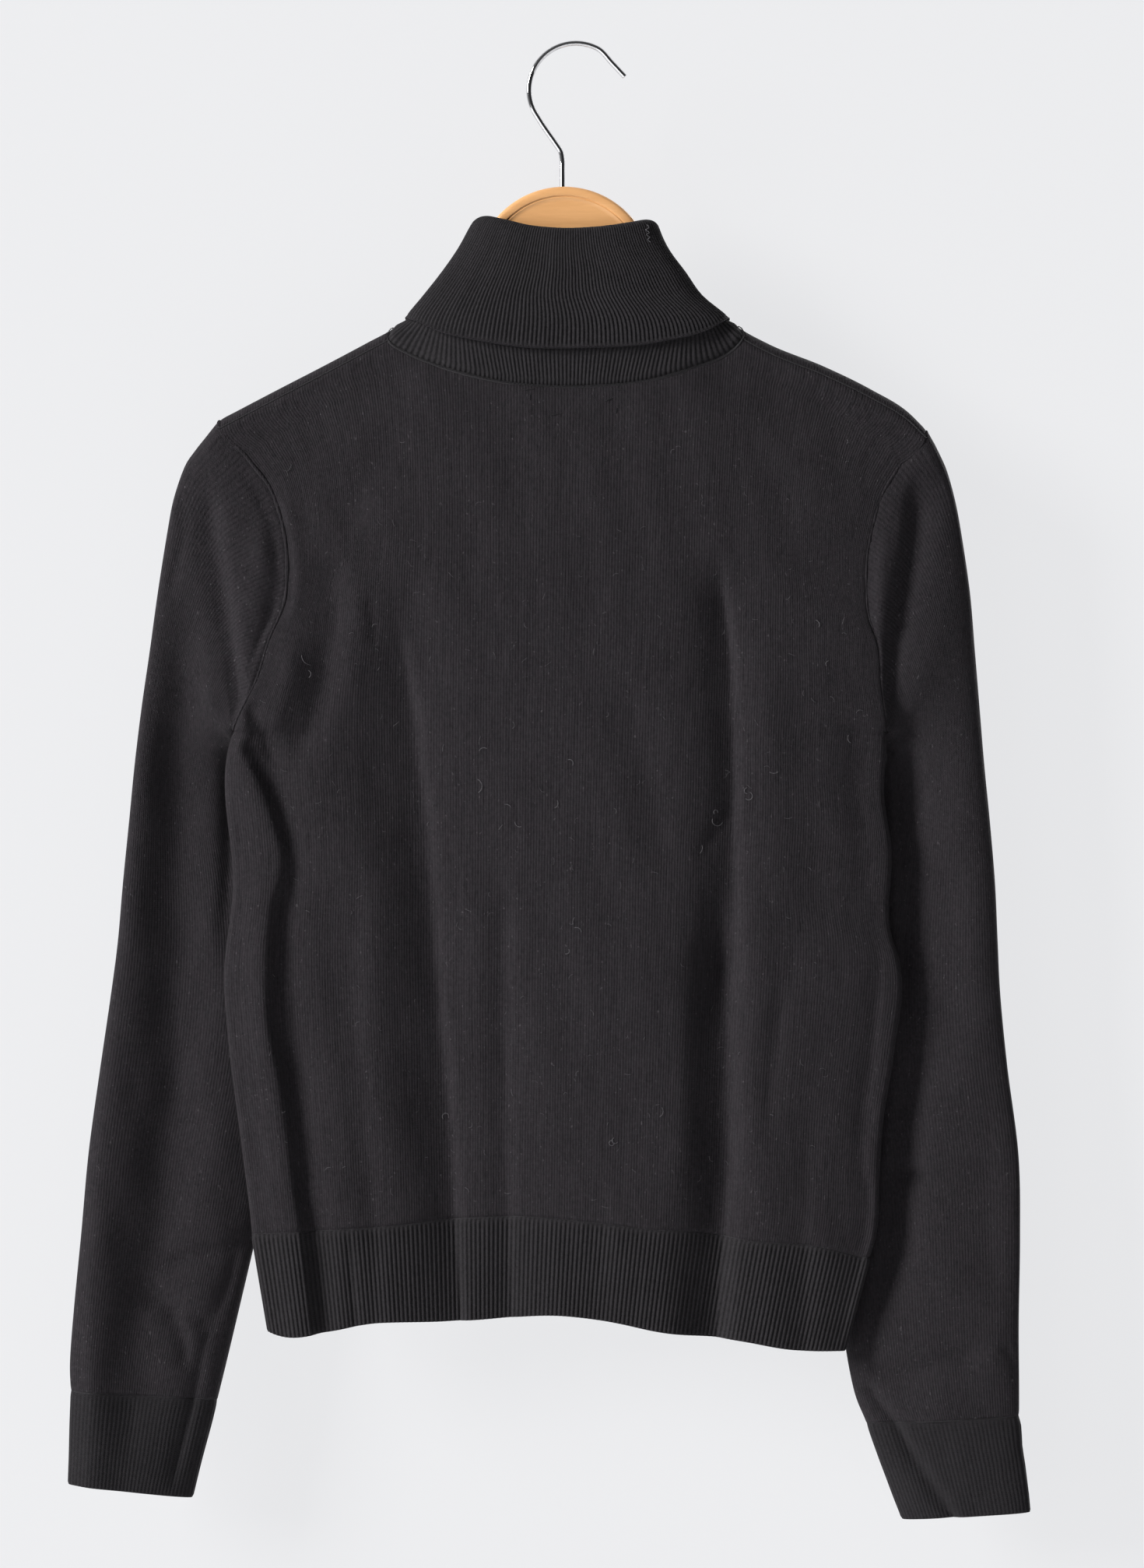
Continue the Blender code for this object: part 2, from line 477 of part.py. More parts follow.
def panel_grid(face):
    """Outside points of the back or the front and directions through the wall, row by row."""
    columns = panel_columns(face)
    left_ring, left_in = armhole(-1)
    right_ring, right_in = armhole(1)
    if face < 0:
        stations = [RING_ANGLES.index(angle) for angle in RISING + OVER_ANGLES[:1]]
        level_row = len(stations) - 2
    else:
        stations = [0] + [RING_ANGLES.index(angle) for angle in FALLING[::-1] + OVER_ANGLES[::-1]]
        level_row = len(stations) - 5
    shift = ARMHOLE_SHIFT
    rows_below = SIDE_SEAM_ROWS
    edge_points = []
    for ring, edge_x, side in ((left_ring, left_x, -1), (right_ring, right_x, 1)):
        foot_z = HEM_SEAM["z"][0 if side < 0 else -1] + SEAM_GAP / 2
        points = []
        for row in range(rows_below):
            z = foot_z + (UNDERARM_Z - foot_z) * row / rows_below
            points.append([float(edge_x(z)), face * SEAM_GAP / 2, z])
        for station in stations:
            x, y, z = ring[station]
            points.append([x - side * shift, y if abs(y) > SEAM_GAP / 2 else face * SEAM_GAP / 2, z])
        edge_points.append(np.array(points))
    left, right = edge_points
    turn_left = columns[0]["point"]
    turn_right = columns[-1]["point"]
    total = len(left)
    grid = np.zeros((total, len(columns), 3))
    last_below = rows_below + level_row
    climbs, bends = [], []
    for edge in (left, right):
        climb = (edge[:, 2] - edge[0, 2]) / (edge[last_below, 2] - edge[0, 2])
        climbs.append(climb)
        bends.append(edge[:, 0] - edge[0, 0] - (edge[-1, 0] - edge[0, 0]) * np.minimum(1, climb))
    for index, column in enumerate(columns):
        share = (column["point"][0] - turn_left[0]) / (turn_right[0] - turn_left[0])
        climbs_here = (1 - share) * climbs[0] + share * climbs[1]
        bend = bends[0] * (1 - min(1, 2 * share)) ** EDGE_PULL
        bend += bends[1] * (1 - min(1, 2 - 2 * share)) ** EDGE_PULL
        foot_x = left[0][0] + share * (right[0][0] - left[0][0])
        foot_z = float(smooth(foot_x, HEM_SEAM["x"], HEM_SEAM["z"])) + SEAM_GAP / 2
        top_x, _, top_z = column["point"]
        crest_level = float(crest_z(top_x)) - CREST_RADIUS
        end_turn = column["turn"]
        if end_turn is None:
            end_turn = math.degrees(math.asin(np.clip((top_z - crest_level) / CREST_RADIUS, 0, 1)))
            if face > 0 and column["point"][1] < 0:
                end_turn = 180 - end_turn
        in_fold = face > 0 and end_turn > 0
        arc = math.radians(end_turn) * CREST_RADIUS
        climbing = max(0.0, TOP_ROWS_HEIGHT - arc) if in_fold else TOP_ROWS_HEIGHT
        level_z = (crest_level if in_fold else top_z) - climbing
        for row in range(total):
            climb = climbs_here[row]
            x = foot_x + (top_x - foot_x) * min(1.0, climb) + bend[row]
            if row <= last_below:
                z = foot_z + climb * (level_z - foot_z)
                grid[row, index] = body_point(face, x, z)
                continue
            part = (row - last_below) / (total - 1 - last_below)
            climbed = part * (climbing + arc) if in_fold else part * climbing
            if climbed <= climbing:
                grid[row, index] = body_point(face, top_x + (x - top_x) * (1 - part), level_z + climbed)
            else:
                grid[row, index] = over_crest(top_x, math.degrees((climbed - climbing) / CREST_RADIUS))
        grid[-1, index] = column["point"]
    grid[:-1, 0] = left[:-1]
    grid[:-1, -1] = right[:-1]
    centre = np.stack([grid[..., 0] * 0, -grid[..., 1], -0.3 + 0 * grid[..., 2]], axis=-1)
    inward = grid_inward(grid, False, centre)
    inward[0] = body_inward(face, grid[0, :, 0], grid[0, :, 2])
    for index, column in enumerate(columns):
        if column["neck"] is not None:
            inward[-1, index] = neck_inward(column["neck"])
        else:
            x, y, z = grid[-1, index]
            inward[-1, index] = unit([0, -y, float(crest_z(x)) - CREST_RADIUS - z])
    for row in range(rows_below):
        inward[row, 0] = (1, 0, 0)
        inward[row, -1] = (-1, 0, 0)
    for offset, station in enumerate(stations):
        inward[rows_below + offset, 0] = left_in[station]
        inward[rows_below + offset, -1] = right_in[station]
    return grid, inward


def neck_line(back, front):
    """The ends of both panels' neck columns as one ring, with their angles round the neck."""
    first = len(SHOULDER_STEPS)
    front_angles = np.array(FRONT_NECK_ANGLES) % 360
    stations = [(angle, point) for angle, point in zip(BACK_NECK_ANGLES, back[-1][first:])]
    stations += [(angle, point) for angle, point in zip(front_angles, front[-1][first:])]
    stations += [(angle, point) for angle, point in zip(NECK_JUNCTIONS,
                                                        (back[-1][first - 1], back[-1][-first]))]
    stations = sorted(((angle - 90) % 360 + 90, tuple(point)) for angle, point in stations)
    stations.append((stations[0][0] + 360, stations[0][1]))
    return np.array([point for _, point in stations]), np.array([angle for angle, _ in stations])


def panel(name, grid, inward, material):
    """The back or the front, from the hem seam up to the shoulder seams and the neck seam."""
    return wall(name, grid, grid + inward * JERSEY_WALL, False, material)


# ---------------------------------------------------------------- ribbed rows
def even_steps(points, steps, closed):
    """Distances of given points along their line, and distances at even steps along it."""
    line = np.vstack([points, points[:1]]) if closed else np.asarray(points)
    lengths = np.linalg.norm(np.diff(line, axis=0), axis=1)
    reached = np.concatenate([[0], np.cumsum(lengths)])
    wanted = np.linspace(0, reached[-1], steps + 1)
    if closed:
        wanted = wanted[:-1]
    return reached, wanted


def along_row(values, reached, wanted):
    """Values of a row, taken at the wanted distances along it."""
    values = np.vstack([values, values[:1]]) if len(reached) > len(values) else np.asarray(values)
    return np.stack([np.interp(wanted, reached, values[:, axis]) for axis in range(3)], axis=-1)


def rib_rows(points, inward, ribs, closed):
    """Two rows for a rib wall: ridges and grooves outside, every fourth point plain inside."""
    reached, wanted = even_steps(points, 2 * ribs, closed)
    base = along_row(points, reached, wanted)
    into = unit(along_row(inward, reached, wanted))
    rise = np.where(np.arange(len(base)) % 2 == 1, RIB_RISE, -RIB_RISE)
    if not closed:
        rise[0] = rise[-1] = 0
    outside = base - into * rise[:, None]
    inside = (base + into * (RIB_WALL - RIB_RISE))[::4]
    return outside, inside


# ---------------------------------------------------------------- hem bands
def hem_band(name, face, seam, seam_inward, material):
    """A rib band below the back or the front: raised ribs outside, plain inside."""
    start, end = float(left_x(HEM_EDGE["z"][0])), float(right_x(HEM_EDGE["z"][-1]))
    share = (seam[:, 0] - seam[0, 0]) / (seam[-1, 0] - seam[0, 0])
    x = start + share * (end - start)
    z = smooth(np.clip(x, HEM_EDGE["x"][0], HEM_EDGE["x"][-1]), HEM_EDGE["x"], HEM_EDGE["z"])
    edge = body_point(face, x, z)
    edge[0, 1] = edge[-1, 1] = face * SEAM_GAP / 2
    edge_inward = body_inward(face, x, z)
    edge_inward[0], edge_inward[-1] = (1, 0, 0), (-1, 0, 0)
    top = rib_rows(seam - np.array([0, 0, SEAM_GAP]), seam_inward, HEM_RIBS, False)
    bottom = rib_rows(edge, edge_inward, HEM_RIBS, False)
    return wall(name, [bottom[0], top[0]], [bottom[1], top[1]], False, material)


# ---------------------------------------------------------------- sleeves and cuffs
FAN_RINGS = 6            # rings of a sleeve that start from the one underarm point
RING_ROUNDNESS = 0.8     # 1 would be an ellipse; less is fuller


def ring_points(row, seam):
    """Points of one sleeve ring, a station for each station of the armhole seam."""
    ring = dict(zip(RING_COLUMNS, row))
    turn = np.radians(RING_ANGLES)
    share = ((1 - np.cos(turn)) / 2)[:, None]
    outer = np.array([ring["outer_x"], ring["outer_y"], ring["outer_z"]])
    inner = np.array([ring["inner_x"], ring["inner_y"], ring["inner_z"]])
    line = inner + share * (outer - inner)
    bulge = ring["half_depth"] * np.sign(np.sin(turn)) * np.abs(np.sin(turn)) ** RING_ROUNDNESS
    line[:, 1] -= bulge
    top = seam[RING_ANGLES.index(180)]
    seam_line = seam[0] + share * (top - seam[0])
    seam_form = seam - seam_line
    seam_form[:, 1] += bulge
    return line + ring["seam_share"] * seam_form


def sleeve_grid(side, table, cuff_seam):
    """Outside points of a sleeve and directions through its wall, ring by ring."""
    seam, seam_in = armhole(side)
    first = seam + np.array([side * ARMHOLE_SHIFT, 0, 0])
    rings = [first] + [ring_points(row, seam) for row in table + [cuff_seam]]
    grid = np.array(rings)
    grid[:FAN_RINGS, 0] = first[0]
    inward = np.array([ring_inward(ring) for ring in grid])
    inward[0] = seam_in
    inward[:FAN_RINGS, 0] = seam_in[0]
    return grid, inward


def sleeve(name, grid, inward, material):
    """A sleeve: its first ring is the armhole seam, its last one the cuff seam."""
    return wall(name, grid, grid + inward * JERSEY_WALL, True, material)


def ring_inward(ring):
    """Directions into a ring, square to its line and within its own plane."""
    across_ring = ring[RING_ANGLES.index(180)] - ring[0]
    plane = unit(np.cross(across_ring, (0, 1, 0)))
    along = np.roll(ring, -1, axis=0) - np.roll(ring, 1, axis=0)
    normal = unit(np.cross(along, plane))
    centre = ring.mean(axis=0) - ring
    return normal * np.sign(np.sum(normal * centre, axis=-1, keepdims=True))


def cuff(name, seam, edge_row, material):
    """A rib cuff below a sleeve's last ring: raised ribs outside, plain inside."""
    edge = ring_points(edge_row, seam)
    top = rib_rows(seam - np.array([0, 0, SEAM_GAP]), ring_inward(seam), CUFF_RIBS, True)
    bottom = rib_rows(edge, ring_inward(edge), CUFF_RIBS, True)
    return wall(name, [bottom[0], top[0]], [bottom[1], top[1]], True, material)


# ---------------------------------------------------------------- collar
def collar_face(angle, z, inset):
    """A point on the collar's outer form at one angle and height, moved inwards by `inset`."""
    along, deep = round_neck(angle)
    middle = float(smooth(z, COLLAR_FORM["z"], COLLAR_FORM["middle"]))
    width = float(smooth(z, COLLAR_FORM["z"], COLLAR_FORM["half_width"])) - inset
    depth = float(smooth(z, COLLAR_FORM["z"], COLLAR_FORM["half_depth"])) - inset
    return np.array([middle + width * along, depth * deep, z])


def collar_angles():
    """An angle for each ridge and groove, evenly spaced round the turned-down rib."""
    angles = np.linspace(90, 450, 1441)
    line = np.array([collar_face(angle, -130.0, 0.0) for angle in angles])
    reached = np.concatenate([[0], np.cumsum(np.linalg.norm(np.diff(line, axis=0), axis=1))])
    wanted = np.linspace(0, reached[-1], 2 * COLLAR_RIBS + 1)[:-1]
    return np.interp(wanted, reached, angles)


def collar(neck_seam, neck_seam_angles, material):
    """The rib collar: it stands up from the neck seam, folds over and turns down outside."""
    angles = collar_angles()
    fold_z = smooth(angles, COLLAR_HEIGHTS["angle"], COLLAR_HEIGHTS["fold_z"])
    edge_z = smooth(angles, COLLAR_HEIGHTS["angle"], COLLAR_HEIGHTS["edge_z"])
    middle_z = (fold_z + edge_z) / 2
    sides = np.abs(np.cos(np.radians(angles))) ** 8
    stand = RIB_WALL + COLLAR_SPACE
    inside = stand + RIB_WALL - RIB_RISE
    seam = np.stack([np.interp(angles, neck_seam_angles, neck_seam[:, axis]) for axis in range(3)], -1)
    inward = np.array([neck_inward(angle) for angle in angles])
    upward = np.array([neck_upward(angle) for angle in angles])
    seam = seam + upward * (SEAM_GAP * (1.3 + 2.2 * np.abs(np.cos(np.radians(angles))) ** 6))[:, None]
    # a row for each line round the collar: height, how far inside the outer form, ribbed or plain
    rows = [
        (edge_z - 2.5, stand, True),
        (middle_z, stand, False),
        (fold_z - 6.0, stand - 0.1, False),
        (fold_z - 4.6, stand - COLLAR_SPACE / 2, False),
        (fold_z - 6.0, RIB_WALL + 0.1, False),
        (middle_z, RIB_WALL, False),
        (edge_z, RIB_WALL, False),
        (edge_z, 0.0, True),
        (middle_z, 0.0, True),
        (fold_z - 4.0, 0.0, True),
        (fold_z - 0.8, 1.6, True),
        (fold_z, stand - COLLAR_SPACE / 2, False),
        (fold_z - 4.0, inside, False),
        (middle_z, inside, False),
        (edge_z - 2.5 - 1.6 * sides, inside, False),
    ]
    rise = np.where(np.arange(len(angles)) % 2 == 1, RIB_RISE, -RIB_RISE)
    loops = [seam - inward * rise[:, None]]
    for height, inset, ribbed in rows:
        if ribbed:
            points = [collar_face(*place) for place in zip(angles, height, inset - rise)]
            loops.append(np.array(points))
        else:
            points = [collar_face(angle, z, inset) for angle, z in zip(angles[::4], height[::4])]
            loops.append(np.array(points))
    loops.append((seam + inward * (RIB_WALL - RIB_RISE))[::4])
    vertices, indexed = [], []
    for loop in loops:
        indexed.append(list(range(len(vertices), len(vertices) + len(loop))))
        vertices.extend(loop)
    faces = []
    for place, loop in enumerate(indexed):
        faces.extend(join_rows(loop, indexed[(place + 1) % len(indexed)], True))
    return add_object("collar", vertices, faces, material)


# ---------------------------------------------------------------- hanger and hook
def hanger_outline():
    """Outline of the hanger seen from the front, running clockwise from the head's left flank."""
    centre_x, centre_z = HEAD_CENTRE
    outline = []
    for angle in range(190, -11, -20):
        turn = math.radians(angle)
        outline.append((centre_x + HEAD_RADIUS * math.cos(turn), centre_z + HEAD_RADIUS * math.sin(turn)))
    half = list(zip(HANGER_HALF["x"], HANGER_HALF["z"]))
    outline += half
    outline += [(centre_x - x, z) for x, z in reversed(half)]
    return outline


def hanger(material):
    """A flat hanger with a round head and two arms, a raised rim and a bore for the hook."""
    outline = hanger_outline()
    half = HANGER_THICKNESS / 2
    work = bmesh.new()
    ring = [work.verts.new((x * MM, -half * MM, z * MM)) for x, z in outline]
    face = work.faces.new(ring)
    swept = bmesh.ops.extrude_face_region(work, geom=[face])
    moved = [item for item in swept["geom"] if isinstance(item, bmesh.types.BMVert)]
    bmesh.ops.translate(work, verts=moved, vec=(0, 2 * half * MM, 0))
    bmesh.ops.recalc_face_normals(work, faces=work.faces)
    broad = [item for item in work.faces if abs(item.normal.y) > 0.99]
    rims = [edge for item in broad for edge in item.edges]
    bmesh.ops.bevel(work, geom=rims, offset=HANGER_EDGE_ROUNDING * MM, segments=1, affect="EDGES")
    broad = [item for item in work.faces if len(item.verts) > 20]
    inset = (HANGER_RIM - HANGER_EDGE_ROUNDING) * MM
    bmesh.ops.inset_individual(work, faces=broad, thickness=inset, depth=0)
    bmesh.ops.inset_individual(work, faces=broad, thickness=0.7 * MM, depth=-HANGER_RECESS * MM)
    mesh = bpy.data.meshes.new("hanger")
    work.to_mesh(mesh)
    work.free()
    mesh.materials.append(material)
    piece = bpy.data.objects.new("hanger", mesh)
    bpy.context.scene.collection.objects.link(piece)

    top_z = HEAD_CENTRE[1] + HEAD_RADIUS + 5
    floor_z = SHANK_BOTTOM_Z - BORE_CLEARANCE
    bpy.ops.mesh.primitive_cylinder_add(
        vertices=16, radius=(WIRE_DIAMETER / 2 + BORE_CLEARANCE) * MM, depth=(top_z - floor_z) * MM,
        location=(SHANK_X * MM, 0, (top_z + floor_z) / 2 * MM))
    cutter = bpy.context.object
    cutter.name = "bore_cutter"
    cutter.hide_render = True
    cutter.display_type = "WIRE"
    bore = piece.modifiers.new("bore", "BOOLEAN")
    bore.object = cutter
    bore.operation = "DIFFERENCE"
    mesh.shade_smooth()
    mesh.set_sharp_from_angle(angle=math.radians(30))
    return piece


def hook_line():
    """Centre line of the hook, from its tip over the crown and down into the hanger's head."""
    centre_x, centre_z = HOOK_CENTRE
    points = [HOOK_TIP]
    angle = HOOK_RIGHT_END_ANGLE
    while angle <= HOOK_LEFT_END_ANGLE + 0.1:
        turn = math.radians(angle)
        points.append((centre_x + HOOK_RADIUS * math.cos(turn), centre_z + HOOK_RADIUS * math.sin(turn)))
        angle += 9.5
    leave_x, leave_z = points[-1]
    points.append((leave_x + (SHANK_X - leave_x) * 0.45, leave_z + (SHANK_TOP_Z - leave_z) * 0.45))
    points.append((SHANK_X - 2.4, SHANK_TOP_Z + 3.6))
    points.append((SHANK_X - 0.6, SHANK_TOP_Z + 0.6))
    points.append((SHANK_X, SHANK_TOP_Z - 2.8))
    points.append((SHANK_X, SHANK_BOTTOM_Z))
    return points


def hook(material):
    """The bent wire hook."""
    line = hook_line()
    curve = bpy.data.curves.new("hook", "CURVE")
    curve.dimensions = "3D"
    curve.bevel_depth = WIRE_DIAMETER / 2 * MM
    curve.bevel_resolution = 3
    curve.render_resolution_u = 0
    curve.use_fill_caps = True
    spline = curve.splines.new("POLY")
    spline.points.add(len(line) - 1)
    for point, (x, z) in zip(spline.points, line):
        point.co = (x * MM, 0, z * MM, 1)
    curve.materials.append(material)
    piece = bpy.data.objects.new("hook", curve)
    bpy.context.scene.collection.objects.link(piece)
    return piece


# ---------------------------------------------------------------- materials and assembly
def finish(name, colour, roughness, metallic=0.0):
    """A plain material."""
    material = bpy.data.materials.new(name)
    material.use_nodes = True
    shader = material.node_tree.nodes["Principled BSDF"]
    shader.inputs["Base Color"].default_value = (*colour, 1)
    shader.inputs["Roughness"].default_value = roughness
    shader.inputs["Metallic"].default_value = metallic
    return material


def main():
    for item in list(bpy.data.objects):
        bpy.data.objects.remove(item)
    jersey = finish("charcoal_jersey", (0.026, 0.024, 0.027), 0.95)
    rib = finish("charcoal_rib", (0.021, 0.020, 0.022), 0.95)
    wood = finish("light_wood", (0.70, 0.40, 0.18), 0.45)
    chrome = finish("chrome", (0.80, 0.80, 0.81), 0.12, 1.0)
    back, back_in = panel_grid(-1)
    front, front_in = panel_grid(1)
    panel("back", back, back_in, jersey)
    panel("front", front, front_in, jersey)
    hem_band("hem_back", -1, back[0], back_in[0], rib)
    hem_band("hem_front", 1, front[0], front_in[0], rib)
    for name, side, table, cuff_seam, cuff_edge in (
            ("left", -1, LEFT_SLEEVE, LEFT_CUFF_SEAM, LEFT_CUFF_EDGE),
            ("right", 1, RIGHT_SLEEVE, RIGHT_CUFF_SEAM, RIGHT_CUFF_EDGE)):
        grid, inward = sleeve_grid(side, table, cuff_seam)
        sleeve(f"sleeve_{name}", grid, inward, jersey)
        cuff(f"cuff_{name}", grid[-1], cuff_edge, rib)
    collar(*neck_line(back, front), rib)
    hanger(wood)
    hook(chrome)


main()
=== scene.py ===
"""Looks of the hanging turtleneck sweater: knitted cloth, rib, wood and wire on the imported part's forms.

All tables are in millimetres, in the part's own frame: the origin is the hook's inner crown, +Z is up
and the sweater's back faces -Y.  Meshes are made in metres.
"""

import math

import bmesh
import bpy
import numpy as np
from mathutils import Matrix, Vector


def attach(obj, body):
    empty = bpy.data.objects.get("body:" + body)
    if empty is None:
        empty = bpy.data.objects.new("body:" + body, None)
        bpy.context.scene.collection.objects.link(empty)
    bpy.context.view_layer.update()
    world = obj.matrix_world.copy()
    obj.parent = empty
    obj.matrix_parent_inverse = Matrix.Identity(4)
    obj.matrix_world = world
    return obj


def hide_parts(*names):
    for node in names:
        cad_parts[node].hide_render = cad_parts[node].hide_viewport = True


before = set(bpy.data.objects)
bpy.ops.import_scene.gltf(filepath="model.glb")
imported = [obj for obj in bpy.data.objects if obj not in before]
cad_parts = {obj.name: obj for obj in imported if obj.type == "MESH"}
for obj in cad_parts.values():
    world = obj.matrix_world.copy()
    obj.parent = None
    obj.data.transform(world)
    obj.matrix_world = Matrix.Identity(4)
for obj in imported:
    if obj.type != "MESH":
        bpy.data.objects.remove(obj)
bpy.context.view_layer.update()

MM = 0.001

# ---------------------------------------------------------------- driving sizes
JERSEY_WALL = 1.9        # thickness of the plain knit
RIB_WALL = 2.2           # thickness of the rib knit, from ridge to plain inside
RIB_RISE = 0.35          # a ridge stands out, and a groove sinks in, by this much
SEAM_GAP = 0.3           # space between two sewn pieces
ARMHOLE_SHIFT = 0.7 * SEAM_GAP   # each piece keeps this far from the slanting armhole seam
NECK_SHIFT = 0.6 * SEAM_GAP      # the body's pieces keep this far below the neck seam
CREST_RADIUS = 8.8       # outside of the cloth where it folds over the hanger's arms
UNDERARM_Z = -374.4
UNDERARM_ROUNDING = 12.0
EDGE_ROUNDING = 3.6      # radius of the cloth along the side seams
SEAM_BEHIND_CREST = 25.6  # degrees above level at which the shoulder seam lies, on the back
HEM_RIBS = 140           # across each hem band
CUFF_RIBS = 76           # around each cuff
COLLAR_RIBS = 176        # around the collar; finer here than in the solids, as in the photo

# ---------------------------------------------------------------- outline of the body
# A row for each height on the body's edge: side seam up to the underarm, then the armhole seam.
LEFT_EDGE = {
    "z": [-715.0, -701.7, -661.3, -639.2, -595.4, -540.6, -507.5, -463.7, -374.4,
          -360.0, -348.5, -323.9, -304.3, -285.2, -265.6, -252.4, -239.3, -228.2, -214.2, -204.4],
    "x": [-163.5, -166.2, -173.8, -176.0, -181.5, -188.3, -190.4, -185.7, -185.3,
          -178.9, -173.0, -164.9, -156.8, -155.1, -156.8, -160.2, -165.8, -174.7, -185.3, -192.5],
}
RIGHT_EDGE = {
    "z": [-720.0, -710.6, -683.4, -667.7, -650.3, -617.5, -586.5, -551.7, -496.4, -487.9,
          -436.5, -409.7, -374.4, -351.1, -324.7, -312.4, -293.3, -278.8, -259.7, -245.7,
          -227.8, -213.8, -209.5],
    "x": [147.5, 149.6, 155.1, 160.7, 166.2, 168.3, 170.4, 176.0, 178.4, 175.5,
          174.7, 170.9, 172.1, 168.7, 166.2, 161.9, 160.2, 160.7, 164.5, 168.7,
          179.4, 187.4, 193.4],
}
# Top of the shoulders from the left tip to the right tip; inside the neck it only guides the form.
CREST = {
    "x": [-199.0, -192.5, -182.3, -159.4, -135.2, -110.9, -98.0, -80.0, 0.0,
          74.0, 91.0, 106.7, 138.1, 163.6, 183.6, 193.4, 199.0],
    "z": [-208.5, -204.4, -199.0, -187.0, -174.5, -161.6, -154.6, -140.0, -90.0,
          -140.0, -153.8, -162.4, -175.2, -187.7, -200.0, -209.5, -214.0],
}
# Line where the hem bands are sewn on, and their lower edge.
HEM_SEAM = {
    "x": [-172.6, -146.2, -98.2, -65.0, -23.4, 11.9, 40.4, 70.1, 94.8, 139.0, 158.5],
    "z": [-648.1, -646.9, -643.9, -640.5, -638.8, -641.8, -645.2, -647.3, -651.5, -655.8, -661.3],
}
HEM_EDGE = {
    "x": [-166.2, -159.4, -133.9, -108.4, -70.1, -31.9, -6.4, 19.1, 44.6, 70.1, 95.6, 121.1, 149.6],
    "z": [-701.7, -703.6, -701.7, -697.0, -696.2, -694.0, -692.8, -695.7, -700.4, -704.2,
          -707.2, -711.0, -712.0],
}
# Neck seam all round: angle 270 is the middle of the back, 180 the left crest, 90 the front.
NECK_SEAM = {
    "angle": [90, 110, 130, 148, 162, 172, 180, 192, 206, 222, 240, 255, 270, 285, 300, 318, 334,
              348, 360, 368, 378, 392, 410, 430, 450],
    "x": [-3.0, -32.0, -58.0, -78.0, -91.0, -96.0, -98.0, -100.5, -90.0, -70.0, -44.0, -24.0, -2.6,
          18.0, 38.0, 64.0, 84.0, 93.5, 91.0, 89.0, 84.0, 71.0, 51.0, 26.0, -3.0],
    "z": [-226.0, -221.0, -207.0, -188.0, -170.0, -158.0, -154.6, -161.2, -168.5, -176.8, -183.6,
          -186.4, -187.4, -186.6, -184.6, -177.6, -169.5, -160.0, -153.8, -157.5, -169.0, -187.0,
          -206.0, -220.0, -226.0],
}
NECK_JUNCTIONS = (192, 348)   # angles at which the neck seam meets the shoulder seams
NECK_HALF_WIDTH = 97.0
NECK_HALF_DEPTH = 16.0
NECK_SQUARENESS = 3.2         # 2 would be an ellipse

# Half of the body's depth at its middle, by height.
BODY_HALF_DEPTH = {
    "z": [-720.0, -640.0, -500.0, -350.0, -260.0, -200.0, -150.0],
    "back": [12.5, 12.5, 14.5, 16.0, 16.0, 15.0, 14.5],
    "front": [12.0, 12.5, 14.0, 15.5, 16.0, 15.5, 15.0],
}

# ---------------------------------------------------------------- folds of the body
# Each fold runs down from its first to its last station.  depth > 0 is a trough, < 0 a ridge.
BACK_FOLDS = [
    {"z": (-380, -480, -560, -701), "x": (-166, -157, -153, -139), "depth": 3.6, "width": 13},
    {"z": (-290, -400, -480, -560, -668), "x": (-93, -88, -78, -71, -63), "depth": 3.2, "width": 17},
    {"z": (-500, -600, -700), "x": (-38, -37, -33), "depth": 1.8, "width": 16},
    {"z": (-290, -380, -440, -520), "x": (83, 87, 87, 87), "depth": 3.2, "width": 14},
    {"z": (-500, -560, -640, -700), "x": (78, 79, 79, 77), "depth": 4.2, "width": 17},
    {"z": (-480, -570), "x": (118, 108), "depth": 1.6, "width": 14},
    {"z": (-380, -480, -640), "x": (-178, -172, -160), "depth": -1.6, "width": 9},
    {"z": (-290, -420, -600), "x": (-122, -118, -106), "depth": -1.4, "width": 18},
    {"z": (-330, -450, -640), "x": (104, 106, 104), "depth": -1.2, "width": 14},
]
FRONT_FOLDS = [
    {"z": (-300, -420, -560, -700), "x": (86, 84, 78, 74), "depth": 3.4, "width": 18},
    {"z": (-320, -480, -700), "x": (-82, -86, -80), "depth": 3.2, "width": 18},
    {"z": (-420, -560, -700), "x": (8, 4, 0), "depth": 2.0, "width": 20},
    {"z": (-280, -340, -430), "x": (-30, -18, -6), "depth": 1.8, "width": 22},
]

